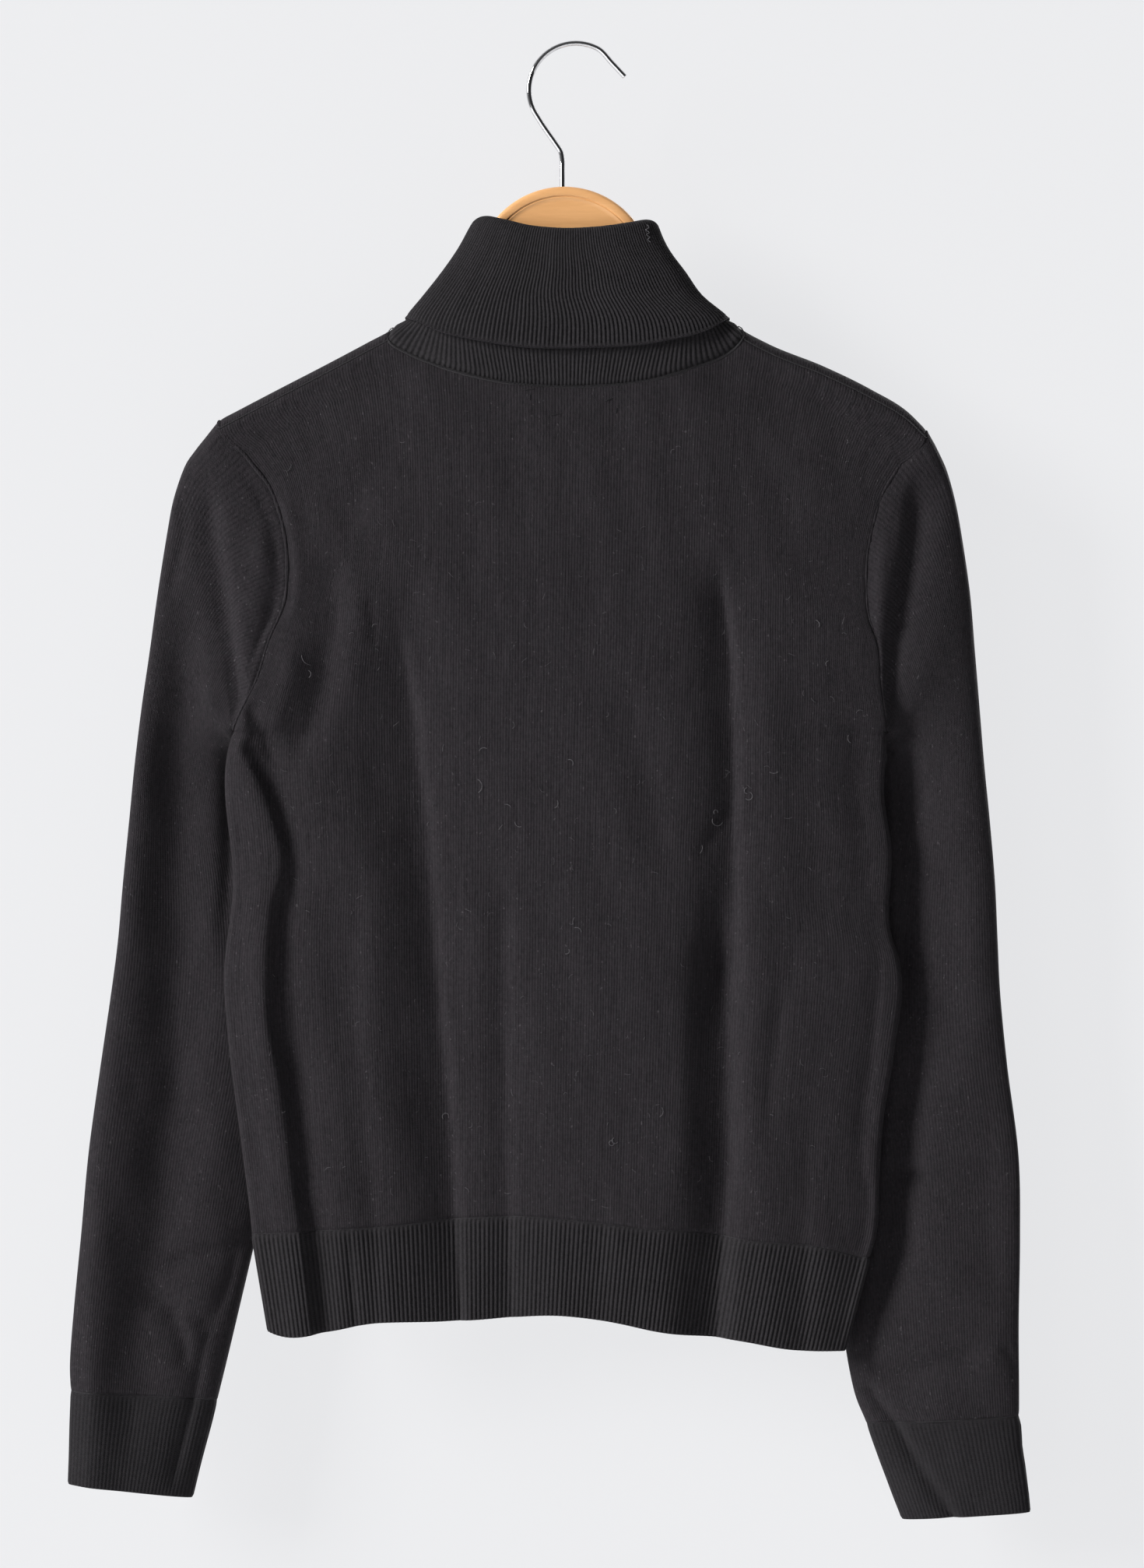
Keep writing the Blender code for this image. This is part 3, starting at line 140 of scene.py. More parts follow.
# ---------------------------------------------------------------- sleeves
# A row for each ring below the armhole: where it meets the sleeve's outer and inner line, how far
# it leans back there, half of its depth, and how much of the armhole seam's form it keeps.
RING_COLUMNS = ("outer_x", "outer_z", "inner_x", "inner_z", "outer_y", "inner_y", "half_depth",
                "seam_share")
LEFT_SLEEVE = [
    (-199.3, -212.9, -185.5, -374.4, 0.0, 0.0, 10.5, 0.85),
    (-206.1, -221.4, -185.5, -374.4, 0.5, 0.0, 11.0, 0.68),
    (-211.7, -229.9, -185.5, -374.4, 1.5, 0.0, 11.0, 0.50),
    (-217.6, -246.9, -185.5, -374.4, 2.5, 0.0, 11.0, 0.34),
    (-221.0, -263.9, -185.5, -374.4, 3.5, 0.0, 11.0, 0.20),
    (-226.5, -297.9, -188.2, -379.4, 4.5, 3.5, 11.0, 0.08),
    (-231.0, -330.0, -187.2, -385.6, 5.5, 8.5, 10.5, 0.02),
    (-235.5, -361.0, -183.5, -393.5, 6.0, 13.5, 10.5, 0.0),
    (-239.3, -392.0, -177.0, -406.5, 6.5, 18.0, 10.5, 0.0),
    (-242.5, -424.0, -168.0, -432.0, 7.0, 20.5, 10.5, 0.0),
    (-245.8, -457.0, -158.0, -461.0, 7.0, 21.5, 10.5, 0.0),
    (-248.6, -489.0, -151.5, -491.0, 7.0, 22.0, 10.5, 0.0),
    (-252.5, -519.0, -149.5, -520.0, 7.0, 22.0, 10.5, 0.0),
    (-258.2, -558.0, -153.0, -558.0, 7.0, 21.5, 10.5, 0.0),
    (-264.5, -604.0, -163.5, -606.0, 6.5, 20.0, 10.5, 0.0),
    (-268.5, -648.0, -173.0, -649.0, 6.0, 18.5, 10.5, 0.0),
    (-272.4, -689.0, -182.3, -689.0, 5.0, 17.0, 10.5, 0.0),
    (-274.6, -718.0, -189.5, -719.5, 5.0, 16.0, 10.5, 0.0),
]
LEFT_CUFF_SEAM = (-274.2, -734.4, -194.5, -740.0, 5.0, 15.0, 10.0, 0.0)
LEFT_CUFF_EDGE = (-275.4, -785.4, -208.3, -793.9, 5.0, 14.0, 9.5, 0.0)
RIGHT_SLEEVE = [
    (198.0, -217.5, 172.3, -374.4, 0.0, 0.0, 10.5, 0.85),
    (201.5, -224.5, 172.3, -374.4, 0.5, 0.0, 11.0, 0.68),
    (205.0, -232.5, 172.3, -374.4, 1.5, 0.0, 11.0, 0.50),
    (209.1, -246.9, 172.3, -374.4, 2.5, 0.0, 11.0, 0.34),
    (212.5, -263.9, 172.3, -374.4, 3.5, 0.0, 11.0, 0.20),
    (217.6, -297.9, 175.0, -379.4, 4.5, 3.5, 11.0, 0.08),
    (220.4, -330.0, 174.0, -385.6, 5.5, 8.5, 10.5, 0.02),
    (223.0, -361.0, 170.3, -393.5, 6.0, 13.5, 10.5, 0.0),
    (225.6, -392.0, 164.0, -406.5, 6.5, 18.0, 10.5, 0.0),
    (228.8, -424.0, 155.0, -432.0, 7.0, 20.5, 10.5, 0.0),
    (231.6, -457.0, 145.5, -461.0, 7.5, 22.0, 10.5, 0.0),
    (233.1, -489.0, 138.5, -491.0, 8.0, 22.5, 10.5, 0.0),
    (234.6, -519.0, 134.5, -520.0, 8.0, 22.5, 10.5, 0.0),
    (238.4, -558.0, 134.5, -558.0, 7.5, 22.0, 10.5, 0.0),
    (244.4, -606.0, 139.0, -608.0, 6.5, 20.5, 10.5, 0.0),
    (245.2, -651.0, 144.0, -653.0, 6.0, 19.0, 10.5, 0.0),
    (244.4, -697.0, 148.5, -700.0, 5.0, 17.0, 10.5, 0.0),
    (244.6, -731.0, 154.5, -734.5, 5.0, 16.0, 10.5, 0.0),
]
RIGHT_CUFF_SEAM = (244.6, -748.0, 161.5, -753.0, 5.0, 15.0, 10.0, 0.0)
RIGHT_CUFF_EDGE = (250.8, -800.7, 180.6, -805.8, 5.0, 14.0, 9.5, 0.0)

# ---------------------------------------------------------------- collar
# Outer face of the turned-down rib: middle and half width by height, and half depth.
COLLAR_FORM = {
    "z": [-200.0, -166.0, -149.2, -136.4, -123.7, -110.9, -98.2, -92.0],
    "middle": [-2.6, -2.6, -2.6, -5.1, -4.7, -4.9, -4.1, -3.0],
    "half_width": [97.0, 94.0, 88.5, 76.1, 66.7, 57.6, 51.2, 48.5],
    "half_depth": [20.5, 19.5, 18.6, 17.6, 16.6, 15.6, 14.6, 14.2],
}
# Height of the fold and of the free edge, by the same angles as the neck seam.
COLLAR_HEIGHTS = {
    "angle": [90, 120, 150, 168, 180, 200, 225, 250, 270, 290, 315, 340, 360, 372, 390, 420, 450],
    "fold_z": [-126.0, -118.0, -105.0, -98.0, -95.0, -93.5, -95.6, -99.5, -100.7, -99.8, -97.4, -95.6,
               -96.8, -99.0, -106.0, -118.0, -126.0],
    "edge_z": [-188.0, -178.0, -160.0, -151.0, -149.0, -151.0, -158.6, -164.6, -166.2, -165.0, -160.0,
               -152.0, -149.5, -151.0, -160.0, -178.0, -188.0],
}
COLLAR_SPACE = 1.3       # air between the standing and the turned-down rib

# ---------------------------------------------------------------- hanger and hook
HEAD_RADIUS = 48.8
HEAD_CENTRE = (-4.2, -126.0)
# Right half of the hanger's outline below the head, from its flank to the middle of its underside;
# the left half is its mirror image, a little longer.
HANGER_HALF = {
    "x": [54.0, 64.0, 78.0, 97.0, 120.0, 150.0, 172.0, 178.0, 179.0, 174.0, 150.0, 110.0, 70.0, 35.0],
    "z": [-139.0, -151.0, -160.5, -167.8, -176.8, -190.5, -203.0, -207.5, -213.0, -219.5, -211.0,
          -198.5, -187.0, -181.5],
}
WIRE_DIAMETER = 3.0
HOOK_CENTRE = (2.1, -24.1)
HOOK_RADIUS = 25.6
HOOK_LEFT_END_ANGLE = 214.0     # where the round stretch leaves for the shank
HOOK_RIGHT_END_ANGLE = 62.0     # where it leaves for the tip
HOOK_TIP = (28.9, -16.9)
SHANK_X = -5.3
SHANK_TOP_Z = -58.5
SHANK_BOTTOM_Z = -97.0

# ---------------------------------------------------------------- creases
# Creases on top of the broad folds.  Each row gives the depth, which is below 0 for a ridge; the widths to
# the left and the right; the sharpness, 2 soft and 1 crisp; the shares of the length over which the crease
# comes and goes; and its (x, z) points from top to bottom.
FADE = (0.18, 0.18)
BACK_CREASES = [
    # The rolled strip along the left side seam: a ridge with a steep right flank and a hollow beside it.
    (-4.4, 14, 3.6, 1.9, (0.03, 0), [(-186, -374), (-183, -382), (-178, -390), (-171, -402), (-166, -416),
     (-162, -430), (-159, -442), (-160, -454), (-164, -466), (-166, -482), (-167, -504), (-167, -530),
     (-161, -560), (-156, -592), (-153, -620), (-149, -646), (-143, -706)]),
    (1.8, 3.0, 12, 1.5, (0.04, 0), [(-181, -384), (-174, -391), (-166, -403), (-160, -417), (-155, -431),
     (-152, -442), (-153, -454), (-157, -466), (-159, -482), (-160, -504), (-160, -530), (-154, -560),
     (-149, -592), (-146, -620), (-142, -646), (-136, -706)]),
    (2.4, 2.6, 6, 1.5, (0.15, 0.25), [(-177, -357), (-172, -370), (-166, -383), (-161, -396)]),
    (-2.4, 4, 3, 1.6, FADE, [(-183, -356), (-180, -366), (-179, -378), (-182, -388)]),
    # Soft hollow beside the armhole, running into the strip.
    (4.5, 10, 9, 1.8, (0.2, 0.12), [(-132, -270), (-130, -292), (-129, -314), (-134, -338), (-140, -362),
     (-147, -378), (-157, -390)]),
    (-2.0, 10, 6, 1.9, (0.3, 0.2), [(-150, -318), (-154, -340), (-160, -362), (-168, -378)]),
    (-2.0, 3, 5, 1.7, (0.2, 0.3), [(-163, -241), (-157, -252), (-152, -268), (-150, -284), (-150, -300),
     (-154, -314), (-161, -328)]),
    (1.2, 5, 3, 1.5, FADE, [(-109, -300), (-107, -328)]),
    (1.5, 9, 6, 1.8, (0.2, 0.0), [(-120, -430), (-117, -470), (-119, -520), (-116, -566), (-110, -620),
     (-108, -704)]),
    # Long crease left of the middle, soft on its left, crisp on its right, at the foot of a broad slope.
    (8.4, 46, 74, 1.6, (0.2, 0.0), [(-97, -290), (-92, -330), (-86, -380), (-80, -440), (-76, -500),
     (-70, -564), (-66, -620), (-62, -704)]),
    (3.0, 19, 12, 1.8, (0.3, 0.3), [(-114, -316), (-112, -360), (-109, -400), (-105, -440)]),
    (2.6, 13, 15, 1.8, (0.3, 0.3), [(-131, -440), (-130, -500), (-128, -566)]),
    (4.0, 14, 3.0, 1.5, (0.12, 0.0), [(-96, -306), (-93, -324), (-87, -362), (-84, -388), (-80, -418),
     (-78, -442), (-75, -484), (-72, -527), (-69, -564), (-66, -600), (-64, -637), (-61, -704)]),
    (2.3, 9, 4, 1.7, (0.15, 0), [(-36, -448), (-37, -490), (-37, -527), (-37, -566), (-36, -600),
     (-35, -637), (-34, -700)]),
    # Crease right of the middle and the deep hollow it opens into.
    (4.6, 13, 2.8, 1.5, (0.14, 0.2), [(78, -272), (82, -300), (85, -322), (87, -352), (88, -383),
     (88, -416), (88, -470), (89, -514), (89, -545)]),
    (7.4, 16, 6, 1.8, (0.2, 0.0), [(79, -452), (80, -480), (82, -514), (84, -552), (84, -600), (82, -640),
     (80, -672), (78, -712)]),
    (-1.6, 8, 9, 1.9, (0.2, 0.25), [(58, -505), (60, -530), (61, -560), (60, -590), (56, -637)]),
    (1.2, 5, 3, 1.4, (0.1, 0.35), [(90, -413), (82, -424), (72, -440), (66, -451)]),
    (1.4, 13, 9, 1.9, FADE, [(28, -345), (34, -372), (42, -405), (50, -436), (60, -460)]),
    (1.6, 6, 4, 1.6, (0.25, 0.3), [(116, -505), (112, -530), (109, -564), (106, -606)]),
    (1.2, 9, 5, 1.7, (0.35, 0), [(131, -560), (128, -620), (126, -716)]),
    # Ends of folds that show in the hem.
    (1.8, 5, 3, 1.5, (0.3, 0), [(-122, -640), (-120, -672), (-117, -706)]),
    (0.9, 8, 6, 2.0, (0.4, 0), [(14, -600), (16, -660), (16, -702)]),
    # Rolled strip of the right side seam, with a nick where it opens.
    (2.2, 8, 2.6, 1.4, (0.25, 0), [(170, -470), (166, -527), (162, -567), (158, -590), (159, -610),
     (162, -630), (158, -664), (150, -718)]),
    (1.6, 2.4, 3, 1.4, FADE, [(165, -578), (161, -588), (163, -598)]),
    (1.2, 10, 6, 1.8, FADE, [(158, -360), (156, -400), (160, -440), (162, -470)]),
    # Drag lines below the shoulders and faint lines across the chest.
    (1.2, 10, 8, 2.0, FADE, [(-96, -205), (-112, -240), (-126, -268)]),
    (1.0, 10, 8, 2.0, FADE, [(92, -200), (108, -236), (122, -268)]),
    (0.35, 2.4, 2.4, 2.0, FADE, [(-140, -429), (-80, -425), (-20, -428)]),
    (0.3, 2.4, 2.4, 2.0, FADE, [(-130, -441), (-70, -438), (-24, -441)]),
    (0.3, 2.4, 2.4, 2.0, FADE, [(-40, -520), (0, -522), (40, -518)]),
    (0.5, 4, 4, 2.0, FADE, [(100, -500), (130, -494), (166, -500)]),
    (0.45, 4, 4, 2.0, FADE, [(104, -530), (134, -523), (166, -528)]),
]
FRONT_CREASES = [
    (3.0, 15, 4, 1.4, (0.2, 0.05), [(86, -280), (85, -420), (79, -560), (74, -706)]),
    (3.2, 5, 17, 1.5, (0.25, 0.0), [(-82, -300), (-86, -400), (-88, -480), (-80, -706)]),
    (2.0, 9, 10, 1.7, (0.3, 0), [(8, -400), (4, -560), (0, -700)]),
    (1.6, 10, 8, 1.7, FADE, [(-30, -262), (-20, -330), (-6, -430)]),
    (1.3, 9, 9, 1.7, FADE, [(34, -258), (24, -320), (10, -400)]),
    (-2.4, 6, 12, 1.7, FADE, [(160, -372), (152, -410), (146, -470), (140, -560), (136, -640)]),
    (-2.2, 12, 5, 1.7, FADE, [(-168, -380), (-156, -430), (-150, -520), (-146, -640)]),
    (2.6, 12, 4, 1.5, (0.2, 0), [(138, -420), (130, -500), (128, -600), (126, -706)]),
    (2.4, 4, 12, 1.5, (0.25, 0), [(-140, -440), (-134, -520), (-132, -600), (-130, -706)]),
    (1.3, 8, 8, 2.0, (0.4, 0), [(44, -540), (42, -620), (40, -702)]),
]
LEFT_SLEEVE_CREASES = [
    # Raised outer rim, long hollow down the sleeve and the ridge beside it.
    (-3.4, 7, 12, 1.9, (0.15, 0.0), [(-226, -296), (-236, -362), (-240, -409), (-243, -456), (-248, -504),
     (-254, -549), (-257, -600), (-260, -640), (-262, -690), (-262, -740), (-264, -796)]),
    (8.6, 16, 19, 1.9, (0.12, 0.25), [(-211, -270), (-210, -310), (-213, -362), (-216, -409), (-217, -456),
     (-217, -504), (-218, -549), (-221, -590), (-228, -646), (-235, -690), (-239, -740), (-242, -796)]),
    (-1.0, 8, 6, 1.9, (0.15, 0.3), [(-199, -291), (-199, -340), (-199, -385), (-195, -433), (-196, -480),
     (-200, -540)]),
    # Hollow below the cap, dark on its left and crisp on its right.
    (5.2, 12, 3.4, 1.6, (0.15, 0.1), [(-197, -238), (-195, -267), (-191, -291), (-187, -314), (-184, -338),
     (-182, -357), (-187, -372)]),
    (-1.8, 9, 5, 1.9, FADE, [(-172, -262), (-169, -290), (-173, -318)]),
    (2.8, 3.2, 2.2, 1.6, (0.2, 0.25), [(-181, -226), (-172, -241), (-166, -252), (-161, -268), (-159, -284),
     (-159, -300), (-164, -314), (-171, -328), (-177, -346)]),
    (2.0, 3, 5, 1.5, (0.2, 0.3), [(-214, -243), (-213, -270), (-218, -290), (-223, -312)]),
    (3.2, 5, 4, 1.6, (0.1, 0.35), [(-188, -372), (-188, -400), (-188, -445), (-192, -500)]),
    # Wrinkles above the cuff.
    (3.4, 6, 2.8, 1.4, (0.3, 0.05), [(-232, -668), (-222, -665), (-205, -660), (-192, -657), (-172, -652)]),
    (3.4, 2.8, 7, 1.4, (0.3, 0.1), [(-240, -681), (-231, -685), (-215, -692), (-198, -700)]),
    (2.8, 5, 2.6, 1.4, FADE, [(-222, -689), (-213, -705), (-211, -724)]),
    (2.4, 4, 2.6, 1.4, (0.1, 0.15), [(-183, -652), (-187, -672), (-192, -686), (-201, -709), (-206, -735),
     (-211, -754), (-217, -778), (-220, -792)]),
]
RIGHT_SLEEVE_CREASES = [
    # Deep hollow beside the body's edge, and the shadowed strip below it.
    (6.4, 4, 13, 1.7, (0.05, 0.1), [(187, -232), (186, -258), (183, -280), (179, -302), (176, -322),
     (174, -343), (175, -365), (178, -385), (181, -430), (183, -480), (184, -537), (180, -587), (176, -628),
     (171, -668), (160, -704)]),
    (-1.5, 5, 5, 2.0, FADE, [(170, -262), (168, -290), (167, -322)]),
    (-1.6, 14, 9, 2.0, (0.3, 0.3), [(214, -300), (219, -380), (223, -460), (227, -560)]),
    (1.4, 11, 9, 2.0, (0.3, 0.3), [(200, -420), (206, -480), (206, -540), (200, -590)]),
    (2.4, 20, 9, 2.0, (0.3, 0.2), [(222, -560), (226, -620), (228, -690)]),
    # Wrinkles at the elbow and above the cuff.
    (3.2, 6, 2.6, 1.4, (0.25, 0.04), [(166, -612), (190, -616), (220, -615), (252, -613)]),
    (2.6, 8, 3, 1.4, (0.1, 0.25), [(160, -722), (174, -723), (189, -722), (209, -716), (230, -709)]),
    (2.2, 3, 4, 1.4, FADE, [(235, -708), (241, -718), (244, -732)]),
    (4.0, 6, 2.6, 1.4, (0.1, 0), [(158, -728), (166, -738), (179, -756), (189, -774), (200, -790),
     (210, -806)]),
]
RIGHT_SLEEVE_BACK = [
    (3.0, 12, 7, 1.6, FADE, [(200, -260), (204, -330), (200, -420), (192, -520)]),
    (2.4, 7, 9, 1.6, FADE, [(222, -330), (224, -420), (222, -540), (230, -640)]),
    (1.6, 5, 4, 1.5, FADE, [(150, -560), (176, -566), (206, -562)]),
    (1.8, 5, 4, 1.5, FADE, [(160, -640), (190, -650), (228, -640)]),
    (1.8, 8, 6, 1.6, FADE, [(176, -650), (184, -700), (196, -735)]),
]
LEFT_SLEEVE_BACK = [
    (3.0, 7, 12, 1.6, FADE, [(-204, -262), (-208, -330), (-204, -430), (-196, -520)]),
    (2.6, 9, 7, 1.6, FADE, [(-228, -340), (-232, -440), (-240, -560), (-248, -660)]),
    (1.6, 4, 5, 1.5, FADE, [(-160, -570), (-190, -574), (-222, -566)]),
    (1.8, 4, 5, 1.5, FADE, [(-176, -650), (-206, -640), (-246, -652)]),
    (1.8, 6, 8, 1.6, FADE, [(-190, -664), (-204, -700), (-212, -730)]),
]

# Tables by face of the body, -1 the back and 1 the front, or by side, -1 the left and 1 the right.
FOLDS = {-1: BACK_FOLDS, 1: FRONT_FOLDS}
BODY_CREASES = {-1: BACK_CREASES, 1: FRONT_CREASES}
SLEEVE_CREASES = {-1: LEFT_SLEEVE_CREASES, 1: RIGHT_SLEEVE_CREASES}
SLEEVE_BACKS = {-1: LEFT_SLEEVE_BACK, 1: RIGHT_SLEEVE_BACK}
EDGES = {-1: LEFT_EDGE, 1: RIGHT_EDGE}


# ---------------------------------------------------------------- small helpers
def smooth(at, keys, values):
    """Cubic curve through a table's rows, level slopes taken from the neighbouring rows."""
    keys = np.asarray(keys, float)
    values = np.asarray(values, float)
    slopes = np.gradient(values, keys)
    at = np.clip(np.asarray(at, float), keys[0], keys[-1])
    row = np.clip(np.searchsorted(keys, at) - 1, 0, len(keys) - 2)
    span = keys[row + 1] - keys[row]
    t = (at - keys[row]) / span
    rise = values[row + 1] - values[row]
    bend = (1 - t) * (slopes[row] * span - rise) - t * (slopes[row + 1] * span - rise)
    return values[row] + t * rise + t * (1 - t) * bend


def ease(t):
    """Rise smoothly from 0 to 1."""
    t = np.clip(t, 0.0, 1.0)
    return t * t * (3 - 2 * t)


def unit(vectors):
    """Vectors scaled to length one."""
    vectors = np.asarray(vectors, float)
    lengths = np.linalg.norm(vectors, axis=-1, keepdims=True)
    return vectors / np.where(lengths < 1e-9, 1.0, lengths)


def reached_along(line):
    """Distance reached at each point of a line."""
    return np.concatenate([[0], np.cumsum(np.linalg.norm(np.diff(line, axis=0), axis=1))])


def path_through(points, count):
    """A smooth line of evenly spaced points through the given ones."""
    points = np.asarray(points, float)
    reached = reached_along(points)
    wanted = np.linspace(0, reached[-1], count)
    return np.stack([smooth(wanted, reached, points[:, axis]) for axis in range(points.shape[1])], -1)


def stretches(ends, counts):
    """Values in even steps through `ends`; a stretch's count takes in both of its ends."""
    parts = [np.linspace(*ends[number:number + 2], count) for number, count in enumerate(counts)]
    return np.concatenate(parts[:1] + [part[1:] for part in parts[1:]])


def square_to(along):
    """Directions square to a line's directions, without a sideways part."""
    return unit(np.stack([0 * along[:, 0], along[:, 2], -along[:, 1]], axis=-1))


def soft_noise(x, y, size, seed):
    """Smooth noise from -1 to 1 over a plane, from a few sine waves whose crests lie `size` apart."""
    draw = np.random.default_rng(seed)
    total = 0.0
    for _ in range(7):
        turn = draw.uniform(0, 2 * math.pi)
        step = 2 * math.pi / (size * draw.uniform(0.7, 1.6))
        total = total + np.sin(step * (math.cos(turn) * x + math.sin(turn) * y) + draw.uniform(0, 6.3))
    return total / 4.0


# ---------------------------------------------------------------- the body's surface
def edge_x(side, z):
    """Place of the body's left edge (side -1) or right edge (side 1) at a height."""
    return smooth(z, EDGES[side]["z"], EDGES[side]["x"])


def crest_z(x):
    """Height of the top of the shoulders."""
    return smooth(x, CREST["x"], CREST["z"])


def across(x, z):
    """Place between the two edges: -1 on the left edge, +1 on the right one."""
    left, right = edge_x(-1, z), edge_x(1, z)
    return np.clip((2 * x - left - right) / (right - left), -1.0, 1.0)


def fold_depth(face, x, z):
    """Sum of the broad folds' depths at a place on one face of the body."""
    total = np.zeros(np.broadcast(x, z).shape)
    for fold in FOLDS[face]:
        top, bottom = fold["z"][0], fold["z"][-1]
        line_x = smooth(-np.asarray(z), [-height for height in fold["z"]], fold["x"])
        reach = min(45.0, (top - bottom) / 3)
        length = ease((top + reach * 0.5 - z) / reach)
        if bottom > -690:
            length = length * ease((z - bottom + reach * 0.5) / reach)
        total = total + fold["depth"] * length * np.exp(-((x - line_x) / fold["width"]) ** 2)
    return total


def half_depth(face, x, z):
    """Distance of one face's outside from the plane Y = 0."""
    side = across(x, z)
    middle = smooth(z, BODY_HALF_DEPTH["z"], BODY_HALF_DEPTH["back" if face < 0 else "front"])
    from_edge = (1 - np.abs(side)) * (edge_x(1, z) - edge_x(-1, z)) / 2
    turn = np.clip(from_edge / EDGE_ROUNDING, 0.0, 1.0)
    above = np.clip((z - UNDERARM_Z) / UNDERARM_ROUNDING, 0.0, 1.0)
    opened = np.sqrt(above * (2 - above))
    edge = EDGE_ROUNDING * np.sqrt(turn * (2 - turn)) * (1 - opened) + CREST_RADIUS * opened
    edge_full = EDGE_ROUNDING * (1 - opened) + CREST_RADIUS * opened
    profile = (1 - np.abs(side) ** 2.4) ** 0.8 if face < 0 else 1 - side ** 2
    below_crest = crest_z(x) - z
    settle = ease((below_crest - CREST_RADIUS) / 55.0)
    depth = edge + (middle - edge_full) * profile * np.where(z > UNDERARM_Z, settle, 1.0)
    depth = depth - fold_depth(face, x, z) * (1 - side ** 6) * ease((below_crest - 40) / 60)
    rise = np.clip(1 - below_crest / CREST_RADIUS, 0.0, 1.0)
    return depth * np.sqrt(1 - rise ** 2)


def body_point(face, x, z):
    """Points on the outside of the body's back (face -1) or front (face +1)."""
    x, z = np.broadcast_arrays(np.asarray(x, float), np.asarray(z, float))
    return np.stack([x, face * half_depth(face, x, z), z], axis=-1)


def over_crest(x, angle):
    """Points on the cloth where it folds over an arm: 0 is the front, 90 the crest, 180 the back."""
    x, angle = np.broadcast_arrays(np.asarray(x, float), np.asarray(angle, float))
    turn = np.radians(angle)
    z = crest_z(x) - CREST_RADIUS * (1 - np.sin(turn))
    return np.stack([x, CREST_RADIUS * np.cos(turn), z], axis=-1)


# ---------------------------------------------------------------- the armhole seam
BACK_SEAM_TURN = 180 - SEAM_BEHIND_CREST
LEVEL_TURN = 141         # ring angle up to which the armhole seam runs on the body's face
BACK_TIP_TURN = 163      # ring angles between which it lies over the crest
FRONT_TIP_TURN = 198


def armhole(side, turns):
    """Points of the armhole seam; turns run from the underarm up the back, over the crest and down."""
    tip_z = EDGES[side]["z"][-1]
    tip_x = float(edge_x(side, tip_z))
    turns = np.asarray(turns, float)
    face = np.where(turns < 180, -1, 1)
    rising = np.minimum(np.minimum(turns, 360 - turns), LEVEL_TURN)
    z = UNDERARM_Z + (1 - np.cos(np.radians(rising))) / 2 * (tip_z - UNDERARM_Z)
    crest = float(crest_z(tip_x))
    back_z = crest - CREST_RADIUS * (1 - math.sin(math.radians(BACK_SEAM_TURN)))
    front_z = crest - CREST_RADIUS
    end_z = np.where(face < 0, back_z, front_z)
    beyond = np.where(face < 0, (turns - LEVEL_TURN) / (BACK_TIP_TURN - LEVEL_TURN),
                      (360 - LEVEL_TURN - turns) / (360 - LEVEL_TURN - FRONT_TIP_TURN))
    beyond = np.clip(beyond, 0.0, 1.0)
    z = z + beyond * (end_z - z)
    x = edge_x(side, z) + beyond * (tip_x - edge_x(side, end_z))
    y = np.where(face < 0, -half_depth(-1, x, z), half_depth(1, x, z))
    points = np.stack([x, y, z], axis=-1)
    share = (turns - FRONT_TIP_TURN) / (BACK_TIP_TURN - FRONT_TIP_TURN)
    over = (turns >= BACK_TIP_TURN) & (turns <= FRONT_TIP_TURN)
    return np.where(over[:, None], over_crest(tip_x, share * BACK_SEAM_TURN), points)


# ---------------------------------------------------------------- creases
def crease_offset(creases, x, z):
    """How far the cloth sinks at places of one face."""
    total = np.zeros(x.shape)
    for depth, left, right, sharp, fade, line in creases:
        line = path_through(line, 32)
        reach = 4 * max(left, right)
        near = (x > line[:, 0].min() - reach) & (x < line[:, 0].max() + reach)
        near &= (z > line[:, 1].min() - reach) & (z < line[:, 1].max() + reach)
        if not near.any():
            continue
        at_x, at_z = x[near], z[near]
        begins, spans = line[:-1], np.diff(line, axis=0)
        square = (spans ** 2).sum(axis=1)
        off_x, off_z = at_x[:, None] - begins[:, 0], at_z[:, None] - begins[:, 1]
        share = np.clip((off_x * spans[:, 0] + off_z * spans[:, 1]) / square, 0, 1)
        off_x, off_z = off_x - share * spans[:, 0], off_z - share * spans[:, 1]
        apart = off_x ** 2 + off_z ** 2
        closest = apart.argmin(axis=1)[:, None]
        apart = np.sqrt(np.take_along_axis(apart, closest, 1))[:, 0]
        turned = off_z * spans[:, 0] - off_x * spans[:, 1]
        turned = np.take_along_axis(turned, closest, 1)[:, 0]
        share = np.take_along_axis(share, closest, 1)[:, 0]
        width = np.where(turned < 0, left, right)
        place = (closest[:, 0] + share) / len(spans)
        length = ease(place / fade[0] if fade[0] else 1 + 0 * place)
        length = length * ease((1 - place) / fade[1] if fade[1] else 1 + 0 * place)
        total[near] += depth * length * np.exp(-(apart / width) ** sharp)
    return total


# ---------------------------------------------------------------- meshes
def lengths_along(points, axis, closed=False):
    """Distances reached along each line of a grid of points, in the given direction."""
    if closed:
        points = np.concatenate([points, points[:, :1]], axis=1)
    steps = np.linalg.norm(np.diff(points, axis=axis), axis=-1)
    reached = np.cumsum(steps, axis=axis)
    pad = [(0, 0), (0, 0)]
    pad[axis] = (1, 0)
    return np.pad(reached, pad)


def grid_faces(rows, columns, closed, first, flip):
    """Corners of a grid's quads as vertex numbers, and as numbers of a grid open at its wrap."""
    row, column = np.meshgrid(np.arange(rows - 1), np.arange(columns if closed else columns - 1),
                              indexing="ij")
    row, column = row.ravel(), column.ravel()
    around = [(row, column), (row, column + 1), (row + 1, column + 1), (row + 1, column)]
    if flip:
        around = around[::-1]
    wrap = columns + 1 if closed else columns
    vertices = np.stack([first + r * columns + c % columns for r, c in around], -1)
    places = np.stack([r * wrap + c for r, c in around], -1)
    return vertices, places


